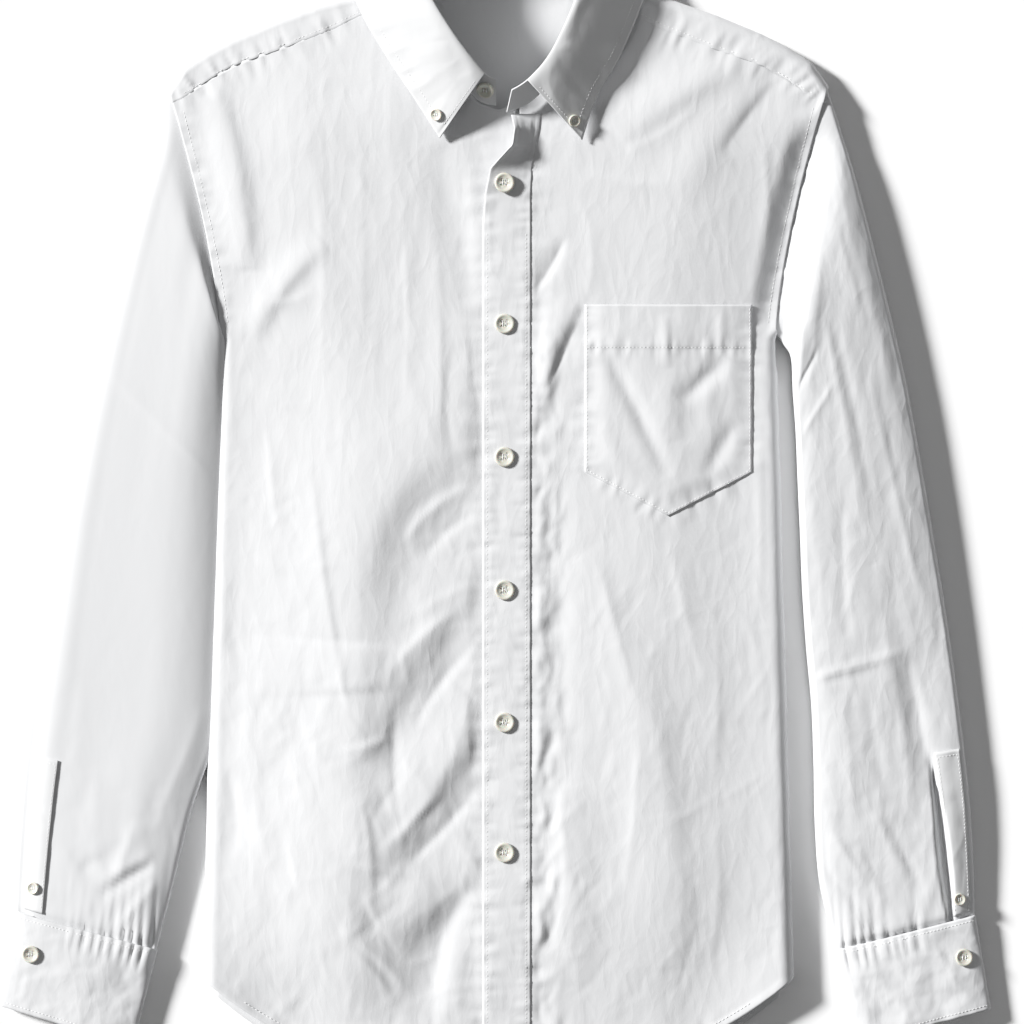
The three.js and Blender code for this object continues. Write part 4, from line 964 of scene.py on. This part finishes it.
# top x, y, z, neck x, y, z: the stand's edges, from the wearer's right front round the back to the left
STAND_SECTIONS = [
    (-1.5, 301, 35, -1.5, 284, 24.6), (-9.1, 305.2, 38, -12.6, 287, 24.2), (-20.3, 318.5, 42, -26.6, 301, 23.6),
    (-32.9, 335.3, 45, -39.6, 325, 22.6), (-47, 358.4, 46, -52, 350, 20.8), (-54, 376, 42, -53.6, 371, 17.8),
    (-43, 385.5, 34, -46, 374.4, 8.4), (-24, 389, 28, -26, 367, 3.4), (4, 390, 26, 3, 361, 2.4),
    (32, 389, 28, 31, 367, 3.4), (50, 385.5, 34, 47, 374.4, 8.4), (59, 376, 40, 54.4, 371, 17.8),
    (54.6, 358.4, 42, 54, 350, 20.8), (44.1, 333.2, 41.5, 46, 325, 22.6), (33.6, 315, 40.5, 36, 301, 24),
    (20.3, 300.3, 39.5, 22, 286, 25.6), (9.6, 293.6, 38.5, 6, 279, 26.6),
]
# x, y, z of the leaf's free edge
LEAF_EDGE = [
    (-40.6, 261, 25), (-58, 288, 25), (-79, 320, 24), (-96, 350, 22.5), (-102, 374, 12),
    (-84, 392, 5), (-48, 405, 3), (4, 410, 2.6), (56, 405, 3), (90, 392, 5),
    (108, 376, 12), (101, 356, 21), (86, 320, 24), (69, 290, 25), (58.8, 259.7, 25),
]
FIRST_LEAF_SHARE = 1 / (len(STAND_SECTIONS) - 1)


def place_stand(share, up):
    top_x, top_y, top_z, neck_x, neck_y, neck_z = (
        between(STAND_SECTIONS, share, column) for column in range(6))
    lump = 0.5 * noise(share * 14, up * 1.5, 111)
    return lerp(neck_x, top_x, up), lerp(neck_y, top_y, up) + lump, lerp(neck_z, top_z, up)


def place_leaf(share, out):
    stand_share = lerp(FIRST_LEAF_SHARE, 1 - FIRST_LEAF_SHARE, share)
    seam_x, seam_y, seam_z = place_stand(stand_share, np.ones_like(share))
    edge_x, edge_y, table_z = (between(LEAF_EDGE, share, column) for column in range(3))
    on_shirt = (edge_y < shoulder_y(edge_x) - SHOULDER_HALF) & (np.abs(edge_x) < 200)
    edge_z = np.where(on_shirt, np.maximum(table_z, plain_front(edge_x, edge_y) + 1.9), table_z)
    t = out
    weights = ((1 - t) ** 3, 3 * (1 - t) ** 2 * t, 3 * (1 - t) * t ** 2, t ** 3)

    def curve(a, b, c, d):
        return sum(weight * value for weight, value in zip(weights, (a, b, c, d)))

    x = curve(seam_x, lerp(seam_x, edge_x, 0.08), lerp(seam_x, edge_x, 0.5), edge_x)
    y = curve(seam_y, lerp(seam_y, edge_y, 0.08), lerp(seam_y, edge_y, 0.5), edge_y)
    z = curve(seam_z + 1.3, seam_z + 3.6, lerp(seam_z, edge_z, 0.48) + 2.4, edge_z)
    soft = 1.1 * noise(share * 13, out * 2.2, 112) + 0.5 * facets(share * 34, out * 3.4, 113, 20)
    draw = 0.7 * facets(share * 62, out * 2, 114, 5) * np.exp(-((0.9 - out) / 0.12) ** 2)
    return x, y, z + (soft + draw) * smooth(out, 0.12, 0.4)


cloth("collar_stand_cloth", ["collar_stand"], 14, 240, place_stand, (0.42, 0.034),
      STIFF_POPLIN, thickness=1.0)
cloth("collar_leaf_cloth", ["collar_leaf"], 44, 330, place_leaf, (0.5, 0.075),
      STIFF_POPLIN, thickness=1.0)


# ---- Placket, pocket and sleeve plackets ----

# y, left x, right x, lift of the left edge
PLACKET_SECTIONS = [
    (PLACKET_FOOT, PLACKET_LEFT, PLACKET_RIGHT, 0), (200, PLACKET_LEFT, PLACKET_RIGHT, 0),
    (222, PLACKET_LEFT + 1.6, PLACKET_RIGHT, 1.5), (240, -5.6, 24, 6), (256, 10, 26.5, 11),
    (268, 11.5, 29, 9), (278, 9, 30, 3.4),
]


def placket_surface(x, y):
    left, right, lift = (read([(row[0], row[column]) for row in PLACKET_SECTIONS], y) for column in (1, 2, 3))
    across = np.clip((x - left) / (right - left), 0, 1)
    sewn_edges = smooth(np.minimum(across, 1 - across), 0, 0.12)
    drawn = 0.4 * sum(puckers([(seam, PLACKET_FOOT), (seam, PLACKET_HEAD)], x, y, seed, 6, 1, 5)
                      for seam, seed in zip(PLACKET_SEAMS, (121, 123)))
    soft = 0.45 * noise(x / 22, y / 34, 125) + 0.2 * facets(x / 12, y / 16, 126, 40)
    seams = (left + PLACKET_STITCH, right - PLACKET_STITCH)
    channel = -0.2 * sum(np.exp(-((x - seam) / 0.8) ** 2) for seam in seams)
    flat = PLACKET_LIFT - 0.34 * (1 - sewn_edges)
    return drawn_front(x, y) + flat + lift * (1 - across) ** 1.5 + (drawn + soft) * sewn_edges + channel


def place_placket(across, up):
    y = lerp(PLACKET_SECTIONS[0][0], PLACKET_SECTIONS[-1][0], up)
    left, right = (read([(row[0], row[column]) for row in PLACKET_SECTIONS], y) for column in (1, 2))
    left = left + 0.2 * noise(y / 9, 0.3, 127)
    right = right + 0.2 * noise(y / 9, 0.7, 128)
    x = lerp(left, right, across)
    return x, y, placket_surface(x, y)


cloth("front_placket_cloth", ["front_placket"], 420, 24, place_placket, (0.034, 0.68),
      BODY_POPLIN, thickness=0.6)

# from x, y, bend x, y, to x, y, width, height: the pocket's own folds
POCKET_FOLDS = [
    (73, 114, 96, 78, 119, 24, 6, -1.7), (159, 108, 142, 88, 126, 78, 6, -1.6),
    (169, 64, 154, 44, 146, 23, 6, -1.4), (70, 60, 80, 40, 96, 24, 7, 0.7),
    (120, 100, 118, 70, 124, 50, 9, 0.8), (150, 96, 150, 60, 140, 40, 8, 0.7),
    (117, 138, 118, 120, 117, 100, 4, 0.9), (156, 143, 157, 130, 156, 116, 4, 0.8),
]


def pocket_surface(x, y):
    p = POCKET
    relief = np.zeros(np.shape(x))
    for away, rise, width, height in runs(POCKET_FOLDS, x, y):
        relief += height * rise ** 0.7 * np.exp(-(away / width) ** 2)
    relief += 0.3 * noise(x / 20, y / 26, 131) + 0.2 * facets(x / 15, y / 18, 132, 50)
    from_edge = np.abs(near_line(pocket_outline(), x, y)[0])
    inner = smooth(from_edge, 1.5, 16)
    hem = [(p["left"], p["top"] - p["hem"]), (p["right"], p["top"] - p["hem"])]
    drawn = puckers(hem, x, y, 135, 6, 0.8, 6)
    turned = 0.45 * smooth(y, p["top"] - p["hem"] - 0.8, p["top"] - p["hem"] + 0.8)
    return drawn_front(x, y) + 0.7 + 0.95 * inner + relief * inner + drawn + turned


def place_pocket(across, down):
    p = POCKET
    x = lerp(p["left"], p["right"], across)
    depth = lerp(p["side"], p["point"], 1 - np.abs(2 * across - 1))
    y = p["top"] - depth * down
    return x + 0.3 * noise(y / 12, 0.2, 137), y, pocket_surface(x, y)


cloth("chest_pocket_cloth", ["chest_pocket"], 92, 76, place_pocket, (0.118, 0.148),
      BODY_POPLIN)

# shares of the sleeve's length from and to, and of its width: the outer edge, the inner one above and below
SLEEVE_STRIP = {1: (0.775, 0.985, 0.03, 0.2, 0.15), -1: (0.8, 0.985, 0.055, 0.19, 0.19)}


def on_sleeve(side, share, across, lift):
    """A point of the sleeve's upper side, by share of its length and width, moved up off it."""
    cosine = 1 - 2 * across
    around = np.arccos(np.clip(np.sign(cosine) * np.abs(cosine) ** (1 / 0.9), -1, 1)) / (2 * math.pi)
    x, y, z = place_sleeve(side)(around, share)
    return x, y, z + lift


def place_strip(side):
    start, end, outer, inner_above, inner_below = SLEEVE_STRIP[side]

    def place(across, down):
        inner = lerp(inner_above, inner_below, down)
        x, y, z = on_sleeve(side, lerp(start, end, down), lerp(outer, inner, across), 0)
        return x, y, z + lerp(0.35, 1.1, smooth(across, 0, 0.8)) + 0.2 * noise(down * 9, across * 1.5, 141)
    return place


for strip_name, strip_side in (("sleeve_placket_left", 1), ("sleeve_placket_right", -1)):
    cloth(strip_name + "_cloth", [strip_name], 60, 16, place_strip(strip_side), (0.022, 0.104),
          STIFF_POPLIN, thickness=0.7)


# ---- Buttons ----

SMALL_BUTTON, MIDDLE_BUTTON, FRONT_BUTTON = 4.4, 6.2, 7  # radius
BUTTON_HEIGHT = 2


def button_shape(radius, height):
    """A turned disc with a raised rim and a dished middle, lying at the origin."""
    outline = [(0, 0), (0.8, 0), (0.97, 0.18), (1, 0.5), (0.97, 0.85), (0.9, 1), (0.8, 1), (0.7, 0.86),
               (0.6, 0.66), (0.3, 0.6), (0, 0.6)]
    mesh = bmesh.new()
    ring = [mesh.verts.new((r * radius * MM, 0, h * height * MM)) for r, h in outline]
    edges = [mesh.edges.new(pair) for pair in zip(ring[:-1], ring[1:])]
    bmesh.ops.spin(mesh, geom=ring + edges, cent=(0, 0, 0), axis=(0, 0, 1), angle=2 * math.pi, steps=28,
                   use_merge=True, use_duplicate=False)
    bmesh.ops.remove_doubles(mesh, verts=mesh.verts, dist=1e-6)
    bmesh.ops.recalc_face_normals(mesh, faces=mesh.faces)
    return mesh


def with_holes(piece, radius, height):
    """Drills the four sewing holes."""
    drill = bmesh.new()
    for turn in range(4):
        angle = math.pi / 4 + turn * math.pi / 2
        bmesh.ops.create_cone(drill, segments=10, radius1=0.13 * radius * MM, radius2=0.13 * radius * MM,
                              depth=3 * height * MM, cap_ends=True,
                              matrix=Matrix.Translation((0.24 * radius * MM * math.cos(angle),
                                                         0.24 * radius * MM * math.sin(angle), 0)))
    data = bpy.data.meshes.new("drill")
    drill.to_mesh(data)
    drill.free()
    cutter = bpy.data.objects.new("drill", data)
    bpy.context.scene.collection.objects.link(cutter)
    cut = piece.modifiers.new("holes", "BOOLEAN")
    cut.object = cutter
    cut.solver = "EXACT"
    shape = bpy.data.meshes.new_from_object(piece.evaluated_get(bpy.context.evaluated_depsgraph_get()))
    piece.modifiers.clear()
    piece.data = shape
    bpy.data.objects.remove(cutter)


def sew_button(name, seat, normal, radius, height=BUTTON_HEIGHT):
    """A button on a seat point with its axis along normal, sewn down with thread through its holes."""
    piece = finish_mesh(name + "_disc", button_shape(radius, height), BUTTON)
    with_holes(piece, radius, height)
    turn = Vector((0, 0, 1)).rotation_difference(Vector(normal)).to_matrix().to_4x4()
    spun = Matrix.Rotation(0.3 * (own_turn(name) - 0.5), 4, "Z")
    place = Matrix.Translation(Vector(seat) * MM) @ turn @ spun
    piece.data.transform(place)
    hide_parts(name)
    threads = bmesh.new()
    strand = Matrix.Diagonal((0.34 * MM, 0.36 * radius * MM, 0.3 * MM, 1))
    for shift in (-1, 1):
        offset = 0.24 * radius * math.sqrt(0.5) * shift
        stitch = Matrix.Translation(Vector((offset, 0, 0.62 * height)) * MM)
        bmesh.ops.create_icosphere(threads, subdivisions=2, radius=1,
                                   matrix=place @ stitch @ strand)
    shank = finish_mesh(name + "_thread", threads, THREAD)
    return piece


def own_turn(name):
    """A fixed number between 0 and 1 for each name, so that the buttons are turned unevenly."""
    return (sum(ord(letter) * (place + 3) for place, letter in enumerate(name)) % 97) / 97


def surface_frame(place, u, v, step=0.02):
    """Point and upward normal of a piece at shares u and v."""
    spots_u = np.array([u, u + step, u - step, u, u])
    spots_v = np.array([v, v, v, v + step, v - step])
    points = np.column_stack([np.broadcast_to(p, 5) for p in place(spots_u, spots_v)])
    normal = np.cross(points[1] - points[2], points[3] - points[4])
    normal /= np.linalg.norm(normal)
    return points[0], normal if normal[2] > 0 else -normal


for number, button_y in enumerate(FRONT_BUTTONS_Y):
    ring = np.linspace(0, 2 * math.pi, 16)
    highest = placket_surface(BUTTON_LINE_X + 5 * np.cos(ring), button_y + 5 * np.sin(ring)).max()
    seat = (BUTTON_LINE_X, button_y, highest + 0.1)
    sew_button(f"button_front_{number + 1}", seat, (0, 0, 1), FRONT_BUTTON)

# name, piece, share across, share along, radius, lift
OTHER_BUTTONS = [
    ("button_collar_right", place_leaf, 0.034, 0.9, SMALL_BUTTON, 0.65),
    ("button_collar_left", place_leaf, 0.982, 0.86, SMALL_BUTTON, 0.65),
    ("button_band", place_stand, 0.05, 0.5, MIDDLE_BUTTON, 0.7),
    ("button_sleeve_right", place_strip(-1), 0.45, 0.86, SMALL_BUTTON, 0.55),
    ("button_sleeve_left", place_strip(1), 0.62, 0.9, SMALL_BUTTON, 0.55),
]
for button_name, place, u, v, radius, lift in OTHER_BUTTONS:
    point, normal = surface_frame(place, u, v)
    sew_button(button_name, point + normal * lift, normal, radius)
for button_name, cuff_side, share, across in (
        ("button_cuff_right", -1, 0.38, 0.155), ("button_cuff_left", 1, 0.4, 0.13)):
    around = (math.acos(1 - 2 * across) / (2 * math.pi) - CUFF_START) / (1 + CUFF_LAP)
    point, normal = surface_frame(place_cuff(cuff_side), around, share)
    sew_button(button_name, point + normal * 0.85, normal, MIDDLE_BUTTON)


# ---- Sewing ----

def sew(name, lines, pitch=3.0, thick=0.42):
    """Rows of stitches, each a plump thread that dives into the cloth at both ends. lines hold points in mm."""
    stitches = bmesh.new()
    for line in lines:
        line = np.asarray(line, float)
        steps = np.linalg.norm(np.diff(line, axis=0), axis=1)
        walked = np.concatenate([[0], np.cumsum(steps)])
        for start in np.arange(0.4, walked[-1] - pitch, pitch):
            ends = [np.array([np.interp(at, walked, line[:, axis]) for axis in range(3)])
                    for at in (start, start + 0.72 * pitch)]
            run = Vector(ends[1] - ends[0])
            place = (Matrix.Translation(Vector((ends[0] + ends[1]) / 2) * MM)
                     @ run.to_track_quat("X", "Z").to_matrix().to_4x4()
                     @ Matrix.Diagonal((run.length / 2 * MM, thick / 2 * MM, thick / 2 * MM, 1)))
            bmesh.ops.create_icosphere(stitches, subdivisions=1, radius=1, matrix=place)
    piece = finish_mesh(name, stitches, THREAD)
    return piece


def over(surface, points, lift):
    """Points x, y laid on a surface of height, lifted."""
    points = np.asarray(points, float)
    return np.column_stack([points, surface(points[:, 0], points[:, 1]) + lift])


def finely(points, step=1.5):
    """The same line with a point every step millimetres."""
    points = np.asarray(points, float)
    walked = np.concatenate([[0], np.cumsum(np.linalg.norm(np.diff(points, axis=0), axis=1))])
    spots = np.linspace(0, walked[-1], max(2, int(walked[-1] / step)))
    return np.column_stack([np.interp(spots, walked, points[:, axis]) for axis in range(points.shape[1])])


def traced(place, shares, lift):
    """A line over a piece, from its shares across and along, lifted."""
    shares = finely(shares, 0.01)
    x, y, z = place(shares[:, 0], shares[:, 1])
    return np.column_stack([x, y, z + lift])


def over_yoke(x, y):
    return front_surface(x, y) + yoke_relief(x, y)


hem_at = POCKET["top"] - POCKET["hem"]
turned_edge = [(POCKET["left"] + 2, hem_at), (POCKET["right"] - 2, hem_at)]
collar_edge = [(0.012, 0.3), (0.012, 0.91), (0.988, 0.91), (0.988, 0.3)]
strip_edge = [(0.1, 0.99), (0.1, 0.03), (0.9, 0.03), (0.9, 0.99)]

sew("front_stitches", [
    over(front_surface, finely(line), 0.3)
    for line in (hem_line(6.2), armhole_line(-1, 6.5), armhole_line(1, 6.5))])
sew("placket_stitches", [
    over(placket_surface, finely([(seam, PLACKET_FOOT + 2), (seam, 196)]), 0.42) for seam in PLACKET_SEAMS])
sew("pocket_stitches", [
    over(pocket_surface, finely(line), 0.28) for line in (pocket_outline(1.8, 1), turned_edge)], pitch=2.6)
sew("yoke_stitches", [over(over_yoke, finely(seam_line(side, 60, 222, -1.2)), 0.25) for side in (-1, 1)])
sew("collar_stitches", [traced(place_leaf, collar_edge, 0.55)], pitch=2.6)
sew("cuff_stitches", [
    traced(place_cuff(side), [(0.05, share), (0.42, share)], 0.66)
    for side in (-1, 1) for share in (0.05, 0.95)], pitch=2.6)
sew("sleeve_placket_stitches", [traced(place_strip(side), strip_edge, 0.4) for side in (-1, 1)], pitch=2.6)


# ---- Floor, light and camera ----

def floor():
    mesh = bmesh.new()
    bmesh.ops.create_grid(mesh, x_segments=1, y_segments=1, size=4)
    data = bpy.data.meshes.new("floor")
    mesh.to_mesh(data)
    mesh.free()
    data.materials.append(start_material("pale floor", {
        "Base Color": (0.98, 0.98, 0.98, 1), "Roughness": 0.9, "Specular IOR Level": 0.1})[0])
    ground = bpy.data.objects.new("floor", data)
    bpy.context.scene.collection.objects.link(ground)


floor()

LIGHT_FROM = Vector((-1, 0.46, 0.505))
WINDOW_LIGHT = 7.2
WINDOW_WIDTH = math.radians(9)
ROOM_LIGHT = 0.19
key = bpy.data.lights.new("window", "SUN")
key.energy = WINDOW_LIGHT
key.angle = WINDOW_WIDTH
key_object = bpy.data.objects.new("window", key)
key_object.rotation_mode = "QUATERNION"
key_object.rotation_quaternion = LIGHT_FROM.to_track_quat("Z", "Y")
bpy.context.scene.collection.objects.link(key_object)

world = bpy.data.worlds.new("room")
world.use_nodes = True
world.node_tree.nodes["Background"].inputs["Color"].default_value = (1, 1, 1, 1)
world.node_tree.nodes["Background"].inputs["Strength"].default_value = ROOM_LIGHT
bpy.context.scene.world = world
# bright cloth rolls off softly, the floor stays white
view = bpy.context.scene.view_settings
view.view_transform = "Standard"
view.use_curve_mapping = True
rolled_off = view.curve_mapping.curves[3]
rolled_off.points[-1].location = (1, 0.93)
rolled_off.points.new(0.72, 0.72)
rolled_off.points.new(0.88, 0.85)
view.curve_mapping.update()

CAMERA_HEIGHT = 4.0
FRAME_WIDTH = 0.7168
CLOTH_HEIGHT = 0.015  # the height that the frame's width is measured at
FRAME_MIDDLE_X = 0.0098
eye = bpy.data.cameras.new("camera")
eye.sensor_width = 36
eye.lens = 36 * (CAMERA_HEIGHT - CLOTH_HEIGHT) / FRAME_WIDTH
camera = bpy.data.objects.new("camera", eye)
camera.location = (FRAME_MIDDLE_X, 0, CAMERA_HEIGHT)
bpy.context.scene.collection.objects.link(camera)
bpy.context.scene.camera = camera
